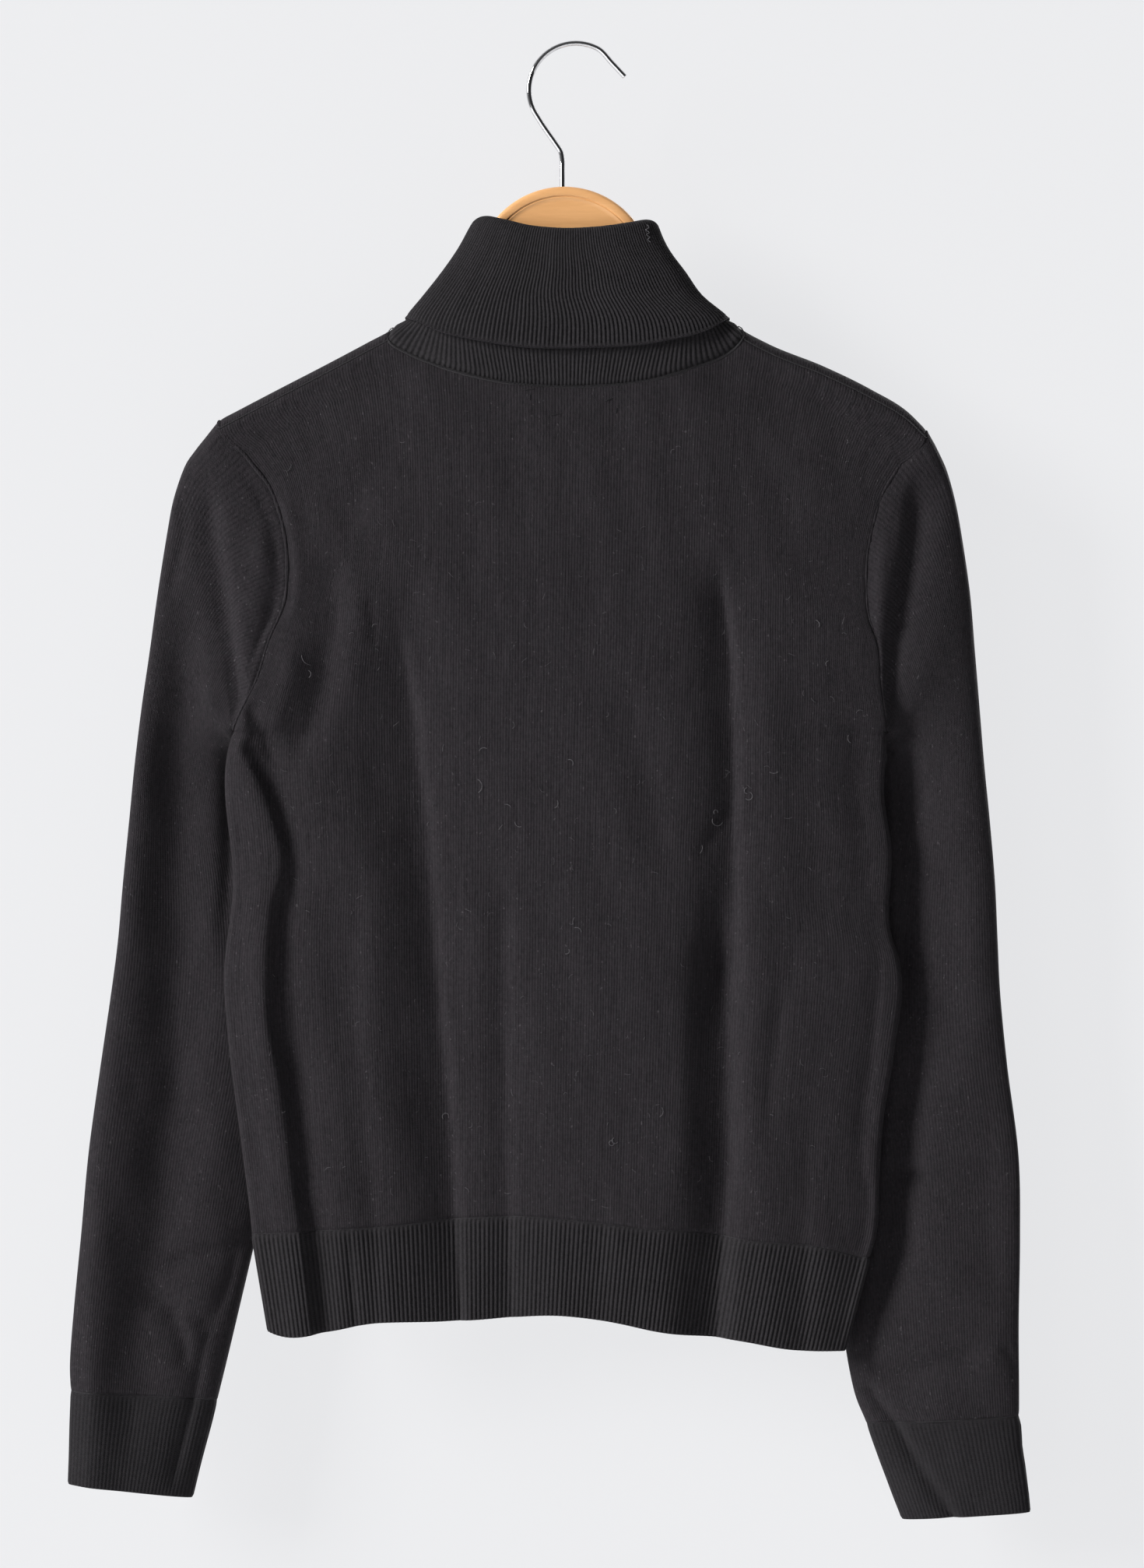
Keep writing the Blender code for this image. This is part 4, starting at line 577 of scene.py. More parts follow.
def add_object(name, data):
    """An object in the scene for a mesh, a light or a camera."""
    made = bpy.data.objects.new(name, data)
    bpy.context.scene.collection.objects.link(made)
    return made


def face_outwards(piece, rings=(), triangles=False):
    """Close the given rings of vertices, if any, and turn all of a piece's faces outwards."""
    work = bmesh.new()
    work.from_mesh(piece.data)
    work.verts.ensure_lookup_table()
    for ring in rings:
        face = work.faces.new([work.verts[number] for number in ring])
        if triangles:
            bmesh.ops.triangulate(work, faces=[face])
    bmesh.ops.recalc_face_normals(work, faces=work.faces)
    work.to_mesh(piece.data)
    work.free()
    return piece


def make_mesh(name, vertices, quads, places, material):
    """An object from points in millimetres, quads and the pattern's place at each quad's corners."""
    mesh = bpy.data.meshes.new(name)
    mesh.vertices.add(len(vertices))
    mesh.vertices.foreach_set("co", (np.asarray(vertices) * MM).ravel())
    mesh.loops.add(quads.size)
    mesh.loops.foreach_set("vertex_index", quads.ravel().astype(np.int32))
    mesh.polygons.add(len(quads))
    mesh.polygons.foreach_set("loop_start", np.arange(0, quads.size, 4, dtype=np.int32))
    mesh.polygons.foreach_set("loop_total", np.full(len(quads), 4, dtype=np.int32))
    mesh.update(calc_edges=True)
    layer = mesh.uv_layers.new(name="cloth")
    layer.data.foreach_set("uv", np.asarray(places, float).reshape(-1, 2).ravel())
    mesh.polygons.foreach_set("use_smooth", np.ones(len(quads), dtype=bool))
    mesh.materials.append(material)
    mesh.validate()
    return add_object(name, mesh)


def shell(name, outside, inside, closed, material, across_mm, along_mm):
    """A closed wall between two grids of the same size, with the knit's place in millimetres.

    across_mm and along_mm give the place of each point, with one more column where the rows are rings.
    """
    rows, columns = outside.shape[:2]
    count = rows * columns
    vertices = np.concatenate([outside.reshape(-1, 3), inside.reshape(-1, 3)])
    place = np.stack([across_mm, along_mm], -1).reshape(-1, 2)
    outer, outer_at = grid_faces(rows, columns, closed, 0, False)
    inner, inner_at = grid_faces(rows, columns, closed, count, True)
    quads, at = [outer, inner], [outer_at, inner_at]
    wrap = columns + 1 if closed else columns
    column = np.arange(columns if closed else columns - 1)
    following = (column + 1) % columns
    for row, order in ((0, 1), (rows - 1, -1)):
        base = row * columns
        ring = np.stack([base + column, base + following, count + base + following,
                         count + base + column], -1)
        seat = row * wrap
        ring_at = np.stack([seat + column, seat + column + 1, seat + column + 1, seat + column], -1)
        quads.append(ring[:, ::order])
        at.append(ring_at[:, ::order])
    if not closed:
        row = np.arange(rows - 1)
        for end, order in ((0, 1), (columns - 1, -1)):
            here, above = row * columns + end, (row + 1) * columns + end
            ring = np.stack([here, above, count + above, count + here], -1)
            ring_at = np.stack([here, above, above, here], -1)
            quads.append(ring[:, ::order])
            at.append(ring_at[:, ::order])
    quads, at = np.concatenate(quads), np.concatenate(at)
    return face_outwards(make_mesh(name, vertices, quads, place[at], material))


def grid_inward(points, closed, towards):
    """Directions through the wall at each point of a grid, pointing to where `towards` says."""
    if closed:
        along = np.roll(points, -1, axis=1) - np.roll(points, 1, axis=1)
    else:
        along = np.gradient(points, axis=1)
    up = np.gradient(points, axis=0)
    normal = unit(np.cross(along, up))
    sign = np.sign(np.sum(normal * towards, axis=-1, keepdims=True))
    return normal * np.where(sign == 0, 1, sign)


# ---------------------------------------------------------------- back and front
EDGE_PULL = 3.0          # how fast a column's bend fades away from the panel's edge
TOP_ROWS_HEIGHT = 15.0   # height of the rows next to the shoulder and neck seams
SEAM_ROLL = 0.35         # how far a sewn edge turns in
SEAM_ROLL_WIDTH = 1.6    # over this width
ROLL_SHARPNESS = 1.6
SHELL_WALL = 0.92 * JERSEY_WALL  # of the plain knit as it is shown
EDGE_CALM = 40           # power that keeps the creases off the outermost edge
ROWS_BELOW_ARMHOLE = 110
BODY_SEEDS = {-1: 11, 1: 12}
PATTERN_ROW = 60         # row of a panel that sets the spacing of its knit columns
SHOULDER_SHARES = np.concatenate([
    [0, 0.004, 0.009, 0.016, 0.025, 0.036, 0.050, 0.066, 0.085], np.linspace(0.105, 0.92, 38),
    [0.945, 0.965, 0.985, 1.0]])
BACK_NECK = np.linspace(*NECK_JUNCTIONS, 92)[1:-1]
FRONT_NECK = stretches((NECK_JUNCTIONS[0], 160, 20, NECK_JUNCTIONS[1] - 360), (26, 64, 26))[1:-1]


def round_neck(angle):
    """Place round the neck as shares of its half width and half depth, flat along front and back."""
    turn = np.radians(angle)
    along = np.cos(turn)
    deep = (1 - np.abs(along) ** NECK_SQUARENESS) ** (1 / NECK_SQUARENESS)
    return along, np.copysign(deep, np.sin(turn))


def neck_point(angle):
    """Points of the neck seam on the cloth's outside."""
    angle = (np.asarray(angle, float) - 90) % 360 + 90
    x = smooth(angle, NECK_SEAM["angle"], NECK_SEAM["x"])
    z = np.minimum(smooth(angle, NECK_SEAM["angle"], NECK_SEAM["z"]), crest_z(x))
    behind = (angle > 180) & (angle < 360)
    y = np.where(behind, -half_depth(-1, x, z), half_depth(1, x, z))
    return np.stack([x, y, z], axis=-1)


def neck_inward(angle):
    """Directions through the wall at the neck seam: level at front and back, down at the crest."""
    along, deep = round_neck(angle)
    power = NECK_SQUARENESS - 1
    level_x = np.copysign(np.abs(along) ** power / NECK_HALF_WIDTH, -along)
    level_y = np.copysign(np.abs(deep) ** power / NECK_HALF_DEPTH, -deep)
    level = unit(np.stack([level_x, level_y, 0 * level_x], -1))
    down = np.stack([0 * level_x, 0 * level_x, -0.9 * level[..., 0] ** 2], -1)
    return unit(level + down)


def neck_upward(angle):
    """Directions from the body into the collar, square to the neck seam and level with the wall."""
    angle = np.asarray(angle, float)
    along = neck_point(angle + 2) - neck_point(angle - 2)
    upward = unit(np.cross(along, neck_inward(angle)))
    return upward * np.where(upward[..., 2:] > 0, 1, -1)


def panel_columns(face):
    """Top ends of a panel's columns with their turn over the crest and angle round the neck."""
    seam_turn = BACK_SEAM_TURN - math.degrees(SEAM_GAP / 2 / CREST_RADIUS) * face
    ends = []
    for side, junction in ((-1, NECK_JUNCTIONS[0]), (1, NECK_JUNCTIONS[1])):
        tip_x = armhole(side, [BACK_TIP_TURN])[0, 0] - side * ARMHOLE_SHIFT
        neck_x = neck_point(junction)[0]
        ends.append(over_crest(tip_x + SHOULDER_SHARES * (neck_x - tip_x), seam_turn))
    angles = BACK_NECK if face < 0 else FRONT_NECK
    neck = neck_point(angles) - neck_upward(angles) * NECK_SHIFT
    tops = np.concatenate([ends[0], neck, ends[1][::-1]])
    blank = np.full(len(SHOULDER_SHARES), np.nan)
    necks = np.concatenate([blank, angles, blank])
    turns = np.where(np.isnan(necks), seam_turn, np.nan)
    return tops, turns, necks


def panel_grid(face):
    """Outside points of the back or the front and directions through the wall, row by row."""
    tops, turns, necks = panel_columns(face)
    if face < 0:
        stations = stretches((0, LEVEL_TURN, BACK_TIP_TURN), (84, 15))
        level_turn = LEVEL_TURN
    else:
        stations = stretches((360, 360 - LEVEL_TURN, FRONT_TIP_TURN, BACK_TIP_TURN), (84, 11, 26))
        level_turn = FRONT_TIP_TURN
    level_row = int(np.abs(stations - level_turn).argmin())
    below = np.linspace(0, 1, ROWS_BELOW_ARMHOLE + 1)[:-1]
    edges = []
    for side in (-1, 1):
        foot_z = HEM_SEAM["z"][0 if side < 0 else -1] + SEAM_GAP / 2
        z = foot_z + (UNDERARM_Z - foot_z) * below
        seam = np.stack([edge_x(side, z), 0 * z + face * SEAM_GAP / 2, z], -1)
        ring = armhole(side, stations) - np.array([side * ARMHOLE_SHIFT, 0, 0])
        near = np.abs(ring[:, 1]) < SEAM_GAP / 2
        ring[near, 1] = face * SEAM_GAP / 2
        edges.append(np.concatenate([seam, ring]))
    left, right = edges
    total = len(left)
    last_below = len(below) + level_row
    climbs, bends = [], []
    for edge in edges:
        climb = (edge[:, 2] - edge[0, 2]) / (edge[last_below, 2] - edge[0, 2])
        climbs.append(climb)
        bends.append(edge[:, 0] - edge[0, 0] - (edge[-1, 0] - edge[0, 0]) * np.minimum(1, climb))
    share = (tops[:, 0] - tops[0, 0]) / (tops[-1, 0] - tops[0, 0])
    climb = (1 - share) * climbs[0][:, None] + share * climbs[1][:, None]
    bend = bends[0][:, None] * (1 - np.clip(2 * share, 0, 1)) ** EDGE_PULL
    bend = bend + bends[1][:, None] * (1 - np.clip(2 - 2 * share, 0, 1)) ** EDGE_PULL
    foot_x = left[0, 0] + share * (right[0, 0] - left[0, 0])
    foot_z = smooth(foot_x, HEM_SEAM["x"], HEM_SEAM["z"]) + SEAM_GAP / 2
    crest_level = crest_z(tops[:, 0]) - CREST_RADIUS
    lift = np.degrees(np.arcsin(np.clip((tops[:, 2] - crest_level) / CREST_RADIUS, 0, 1)))
    lift = np.where((face > 0) & (tops[:, 1] < 0), 180 - lift, lift)
    end_turn = np.where(np.isnan(turns), lift, turns)
    in_fold = (face > 0) & (end_turn > 0)
    arc = np.radians(end_turn) * CREST_RADIUS
    climbing = np.where(in_fold, np.maximum(0.0, TOP_ROWS_HEIGHT - arc), TOP_ROWS_HEIGHT)
    level_z = np.where(in_fold, crest_level, tops[:, 2]) - climbing
    x = foot_x + (tops[:, 0] - foot_x) * np.minimum(1.0, climb) + bend
    z = foot_z + climb * (level_z - foot_z)
    row = np.arange(total)[:, None]
    part = np.clip((row - last_below) / (total - 1 - last_below), 0, 1)
    climbed = part * (climbing + np.where(in_fold, arc, 0))
    upper = row > last_below
    x = np.where(upper, tops[:, 0] + (x - tops[:, 0]) * (1 - part), x)
    z = np.where(upper, level_z + np.minimum(climbed, climbing), z)
    grid = body_point(face, x, z)
    folded = over_crest(tops[:, 0] + 0 * climbed, np.degrees((climbed - climbing) / CREST_RADIUS))
    grid = np.where((upper & (climbed > climbing))[..., None], folded, grid)
    grid[-1] = tops
    grid[:-1, 0] = left[:-1]
    grid[:-1, -1] = right[:-1]
    centre = np.stack([grid[..., 0] * 0, -grid[..., 1], -0.3 + 0 * grid[..., 2]], axis=-1)
    inward = grid_inward(grid, False, centre)
    at_neck = ~np.isnan(necks)
    inward[-1, at_neck] = neck_inward(necks[at_neck])
    seam_side = tops[~at_neck]
    inward[-1, ~at_neck] = unit(np.stack([0 * seam_side[:, 0], -seam_side[:, 1],
                                          crest_z(seam_side[:, 0]) - CREST_RADIUS - seam_side[:, 2]], -1))
    inward[:len(below), 0] = (1, 0, 0)
    inward[:len(below), -1] = (-1, 0, 0)
    return grid, inward


def seam_roll(grid, closed):
    """How far each point turns in next to the piece's sewn edges."""
    up = lengths_along(grid, 0)
    nearest = np.minimum(up, up[-1] - up)
    if not closed:
        along = lengths_along(grid, 1)
        nearest = np.minimum(nearest, np.minimum(along, along[:, -1:] - along))
    return SEAM_ROLL * np.exp(-(nearest / SEAM_ROLL_WIDTH) ** ROLL_SHARPNESS)


def body_ripple(face, x, z):
    """The widest of the cloth's soft ripples, which runs on from the body into the hem."""
    return 0.50 * soft_noise(x, z * 0.45, 34, BODY_SEEDS[face])


def body_sink(face, grid):
    """How far the creases sink the body's cloth, less towards its edges and over the crest."""
    x, z = grid[..., 0], grid[..., 2]
    sink = crease_offset(BODY_CREASES[face], x, z) + body_ripple(face, x, z)
    sink = sink + 0.16 * soft_noise(x * 0.6, z, 15, BODY_SEEDS[face] + 2)
    sink = sink + 0.06 * soft_noise(x, z * 0.7, 7, BODY_SEEDS[face] + 4)
    side = np.abs(across(x, z))
    return sink * (1 - side ** EDGE_CALM) * ease((crest_z(x) - z - 3) / 22)


def panel(name, face, material):
    """The back or the front with its creases."""
    grid, inward = panel_grid(face)
    sink = body_sink(face, grid)
    made = grid.copy()
    made[..., 1] -= face * sink
    made = made + inward * seam_roll(grid, False)[..., None]
    inner = made + inward * SHELL_WALL
    middle = grid.shape[1] // 2
    across_mm = lengths_along(grid[PATTERN_ROW:PATTERN_ROW + 1], 1)
    across_mm = across_mm - across_mm[:, middle:middle + 1] + 0 * grid[..., 0]
    along_mm = lengths_along(grid, 0)
    return shell(name, made, inner, False, material, across_mm, along_mm), grid, inward


# ---------------------------------------------------------------- ribbed bands
RIB_POINTS = 6           # points across a rib


def rib_profile(phase):
    """Height of the rib's cross-section, -1 in the groove and +1 on the ridge; phase 0 is a groove."""
    wave = 0.5 - 0.5 * np.cos(2 * math.pi * phase)
    return 2 * wave ** 0.62 - 1


def even_places(points, count, closed):
    """Parameters of points spaced evenly along a line, as fractions of its steps."""
    line = np.vstack([points, points[:1]]) if closed else points
    reached = reached_along(line)
    wanted = np.linspace(0, reached[-1], count + 1)
    return np.interp(wanted[:-1] if closed else wanted, reached, np.arange(len(line)))


def take(values, places, closed):
    """Rows of a table at fractional places."""
    table = np.vstack([values, values[:1]]) if closed else values
    return np.stack([np.interp(places, np.arange(len(table)), table[:, axis]) for axis in range(3)], -1)


def rib_wall(name, lines, inwards, ribs, closed, material, shares, sink=None, relief=1.0):
    """A rib band swept between two lines; shares run from the seam, 0, to the free edge, 1."""
    count = ribs * RIB_POINTS
    seats, ends = (even_places(line, count, closed) for line in lines)
    top, bottom = take(lines[0], seats, closed), take(lines[1], ends, closed)
    top_in, bottom_in = unit(take(inwards[0], seats, closed)), unit(take(inwards[1], ends, closed))
    places = np.arange(len(top)) / RIB_POINTS
    uneven = 0.06 * np.sin(places * 1.7) + 0.05 * np.sin(places * 0.53 + 2)
    profile = rib_profile(places)
    outside, inside = [], []
    for share in shares:
        base = top + (bottom - top) * share
        into = unit(top_in + (bottom_in - top_in) * share)
        if sink is not None:
            base = sink(base, share)
        rise = RIB_RISE * relief * ease(share / 0.05) * profile + RIB_RISE * 0.25 * (1 + uneven)
        rise = rise - 0.5 * ease((share - 0.975) / 0.025)
        rise = rise - SEAM_ROLL * 0.9 * math.exp(-(share / 0.045) ** ROLL_SHARPNESS)
        outside.append(base - into * rise[:, None])
        wall = (RIB_WALL - RIB_RISE) * (1 - 0.25 * ease((share - 0.97) / 0.03))
        inside.append(base + into * wall)
    outside, inside = np.array(outside), np.array(inside)
    columns = len(top) + (1 if closed else 0)
    across_mm = np.broadcast_to(np.arange(columns) / RIB_POINTS, (len(shares), columns))
    height = np.linalg.norm(top - bottom, axis=1).mean()
    along_mm = np.broadcast_to(np.asarray(shares)[:, None] * height, (len(shares), columns))
    return shell(name, outside, inside, closed, material, across_mm, along_mm)


CUFF_RELIEF = 0.38       # the cuffs' ribs are flatter than the hem's
BAND_SHARES = np.concatenate([[0, 0.012, 0.03, 0.06], np.linspace(0.1, 0.92, 9),
                              [0.955, 0.975, 0.99, 1.0]])


def hem_band(name, face, seam, seam_inward, material):
    """A rib band below the back or the front."""
    start, end = float(edge_x(-1, HEM_EDGE["z"][0])), float(edge_x(1, HEM_EDGE["z"][-1]))
    share = (seam[:, 0] - seam[0, 0]) / (seam[-1, 0] - seam[0, 0])
    x = start + share * (end - start)
    z = smooth(np.clip(x, HEM_EDGE["x"][0], HEM_EDGE["x"][-1]), HEM_EDGE["x"], HEM_EDGE["z"])
    edge = body_point(face, x, z)
    edge[0, 1] = edge[-1, 1] = face * SEAM_GAP / 2
    step = 0.6
    slope = (half_depth(face, x + step, z) - half_depth(face, x - step, z)) / (2 * step)
    edge_inward = unit(np.stack([np.clip(slope, -1.2, 1.2), -face + 0 * x, 0 * x], -1))
    edge_inward[0], edge_inward[-1] = (1, 0, 0), (-1, 0, 0)

    def sink(points, share_down):
        x, y, z = points.T
        depth = crease_offset(BODY_CREASES[face], x, z) + body_ripple(face, x, z)
        depth = depth + 0.5 * share_down * soft_noise(x, 0 * z, 62, 17)
        y = y - face * depth * (1 - np.abs(across(x, z)) ** EDGE_CALM)
        return np.stack([x, y, z + 0.55 * share_down * soft_noise(x, 0 * z, 48, 19)], -1)

    below = seam - np.array([0, 0, SEAM_GAP])
    return rib_wall(name, (below, edge), (seam_inward, edge_inward), HEM_RIBS, False, material,
                    BAND_SHARES, sink)


# ---------------------------------------------------------------- sleeves and cuffs
RING_TURNS = stretches((0, LEVEL_TURN, BACK_TIP_TURN, FRONT_TIP_TURN, 360 - LEVEL_TURN, 360),
                       (46, 8, 14, 8, 46))[:-1]
CREST_AT = int(np.abs(RING_TURNS - 180).argmin())
FAN_RINGS = 6            # rings of a sleeve that start from the one underarm point
RING_ROUNDNESS = 0.8     # 1 would be an ellipse; less is fuller
PATTERN_RING = 90        # ring of a sleeve that sets the spacing of its knit columns
SLEEVE_START = (0.0, 0.06, 0.14, 0.25, 0.4, 0.6, 0.8)   # rings between the armhole and the table's first


def ring_points(rows, seam):
    """Points of sleeve rings, one ring for each row of the table's values."""
    ring = dict(zip(RING_COLUMNS, np.asarray(rows, float).T))
    turn = np.radians(RING_TURNS)
    share = ((1 - np.cos(turn)) / 2)[None, :, None]
    outer = np.stack([ring["outer_x"], ring["outer_y"], ring["outer_z"]], -1)[:, None]
    inner = np.stack([ring["inner_x"], ring["inner_y"], ring["inner_z"]], -1)[:, None]
    line = inner + share * (outer - inner)
    round_form = np.sign(np.sin(turn)) * np.abs(np.sin(turn)) ** RING_ROUNDNESS
    bulge = ring["half_depth"][:, None] * round_form
    line[..., 1] -= bulge
    top = seam[CREST_AT]
    seam_line = seam[0] + share[0] * (top - seam[0])
    seam_form = np.broadcast_to(seam - seam_line, line.shape).copy()
    seam_form[..., 1] += bulge
    return line + ring["seam_share"][:, None, None] * seam_form


def ring_inward(rings):
    """Directions into rings, square to their lines and within their own planes."""
    across_ring = rings[:, CREST_AT] - rings[:, 0]
    plane = unit(np.cross(across_ring, (0, 1, 0)))[:, None]
    along = np.roll(rings, -1, axis=1) - np.roll(rings, 1, axis=1)
    normal = unit(np.cross(along, plane))
    centre = rings.mean(axis=1, keepdims=True) - rings
    return normal * np.sign(np.sum(normal * centre, axis=-1, keepdims=True))


def sleeve_grid(side, table, cuff_seam):
    """Outside points of a sleeve and directions through its wall, ring by ring."""
    seam = armhole(side, RING_TURNS)
    first = seam + np.array([side * ARMHOLE_SHIFT, 0, 0])
    rows = np.array(table + [cuff_seam])
    keys = np.arange(1, len(rows) + 1)
    at = stretches((1, 5, 9, 18, 19), (17, 33, 109, 13))
    fine = np.stack([smooth(at, keys, rows[:, column]) for column in range(rows.shape[1])], -1)
    rings = ring_points(fine, seam)
    early = np.array(SLEEVE_START)[:, None, None]
    start = first + early * (rings[0] - first)
    grid = np.concatenate([start, rings])
    fan = len(early) + int((at <= FAN_RINGS - 1).sum())
    grid[:fan, 0] = first[0]
    inward = ring_inward(grid)
    reach = ease(np.arange(len(early) + 4) / (len(early) + 4.0))[:, None, None]
    along = np.roll(seam, -1, axis=0) - np.roll(seam, 1, axis=0)
    seam_in = square_to(along)
    seam_in[0] = unit(np.array([-0.5 * side, 0, 1.0]))
    inward[:len(reach)] = unit(seam_in + reach * (inward[:len(reach)] - seam_in))
    inward[:fan, 0] = seam_in[0]
    return grid, inward


def sleeve_sink(side, grid):
    """How far the creases sink a sleeve's cloth towards its middle, on the shown and the hidden half."""
    x, z = grid[..., 0], grid[..., 2]
    seed = 31 if side < 0 else 41
    behind = RING_TURNS < 180
    shown, hidden = (crease_offset(table[side], x, z) for table in (SLEEVE_CREASES, SLEEVE_BACKS))
    sink = np.where(behind, shown, hidden)
    sink = sink + np.where(behind, 0.55, 0.7) * soft_noise(x * 1.4 + 60 * behind, z * 0.75, 36, seed)
    sink = sink + 0.16 * soft_noise(x * 0.8 + 60 * behind, z, 14, seed + 1)
    return sink * np.abs(np.sin(np.radians(RING_TURNS))) ** 0.55 * np.where(behind, 1, -1)


def close_underarm(side, made):
    """Let the sleeve's inner edge lie against the body's edge just below the underarm."""
    apart = side * (made[..., 0] - edge_x(side, made[..., 2]))
    levels = np.arange(UNDERARM_Z + 1.0, UNDERARM_Z - 46, -1.5)
    opening = np.array([apart[np.abs(made[..., 2] - level) < 2.2].min() for level in levels])
    here = np.interp(made[..., 2], levels[::-1], opening[::-1])
    low = UNDERARM_Z - made[..., 2]
    here = here + 3.0 * np.exp(-((low - 5.5) / 5.0) ** 2)
    pull = np.clip(here + 0.4, 0, 8.0) * (low > -0.5) * ease((44 - low) / 22)
    made[..., 0] -= side * pull * np.exp(-((apart - here) / 9.0) ** 2)


def sleeve(name, side, table, cuff_seam, material):
    """A sleeve from the armhole seam down to the cuff seam."""
    grid, inward = sleeve_grid(side, table, cuff_seam)
    down = lengths_along(grid, 0)
    calm = ease(down.max(axis=1, keepdims=True) / 14.0)
    made = grid.copy()
    made[..., 1] += sleeve_sink(side, grid) * calm
    close_underarm(side, made)
    roll = seam_roll(grid, True)
    roll[:, 0] = 0
    made = made + inward * roll[..., None]
    inner = made + inward * SHELL_WALL
    round_mm = lengths_along(grid[PATTERN_RING:PATTERN_RING + 1], 1, closed=True)
    round_mm = np.repeat(round_mm, len(grid), axis=0)
    along_mm = np.broadcast_to(down[:, CREST_AT // 2:CREST_AT // 2 + 1], round_mm.shape)
    return shell(name, made, inner, True, material, round_mm, along_mm), grid, inward


def cuff(name, side, seam, seam_in, edge_row, material):
    """A rib cuff below a sleeve's last ring."""
    edge = ring_points([edge_row], armhole(side, RING_TURNS))
    edge_in = ring_inward(edge)[0]
    below = seam - np.array([0, 0, SEAM_GAP])

    def sink(points, share_down):
        depth = 0.45 * soft_noise(points[:, 0] + points[:, 1], 1.2 * points[:, 2], 30, 51 if side < 0 else 52)
        away = unit((points - points.mean(axis=0)) * np.array([1, 1, 0]))
        points = points - away * (depth * ease(share_down / 0.15))[..., None]
        low, high = points[:, 0].min(), points[:, 0].max()
        place = np.clip((2 * points[:, 0] - low - high) / (high - low), -1, 1)
        shown = (points[:, 1] < points[:, 1].mean()) * (1 - place ** 2) ** 0.275
        points[:, 1] += shown * crease_offset(SLEEVE_CREASES[side], points[:, 0], points[:, 2])
        return points

    return rib_wall(name, (below, edge[0]), (seam_in, edge_in), CUFF_RIBS, True, material,
                    BAND_SHARES, sink, relief=CUFF_RELIEF)


# ---------------------------------------------------------------- collar
BIND_OFF = 2.1           # height of the bound-off band along the collar's free edge


def collar_face(angles, z, inset):
    """Points of the collar's outer form at angles and heights, moved inwards by `inset`."""
    along, deep = round_neck(angles)
    middle = smooth(z, COLLAR_FORM["z"], COLLAR_FORM["middle"])
    width = smooth(z, COLLAR_FORM["z"], COLLAR_FORM["half_width"]) - inset
    depth = smooth(z, COLLAR_FORM["z"], COLLAR_FORM["half_depth"]) - inset
    return np.stack([middle + width * along, depth * deep, z + 0 * along], -1)


def collar_angles():
    """An angle for each point round the collar, evenly spaced round the turned-down rib."""
    angles = np.linspace(90, 450, 2881)
    line = collar_face(angles, np.full(angles.shape, -130.0), 0.0)
    reached = reached_along(line)
    wanted = np.linspace(0, reached[-1], COLLAR_RIBS * RIB_POINTS + 1)[:-1]
    return np.interp(wanted, reached, angles)


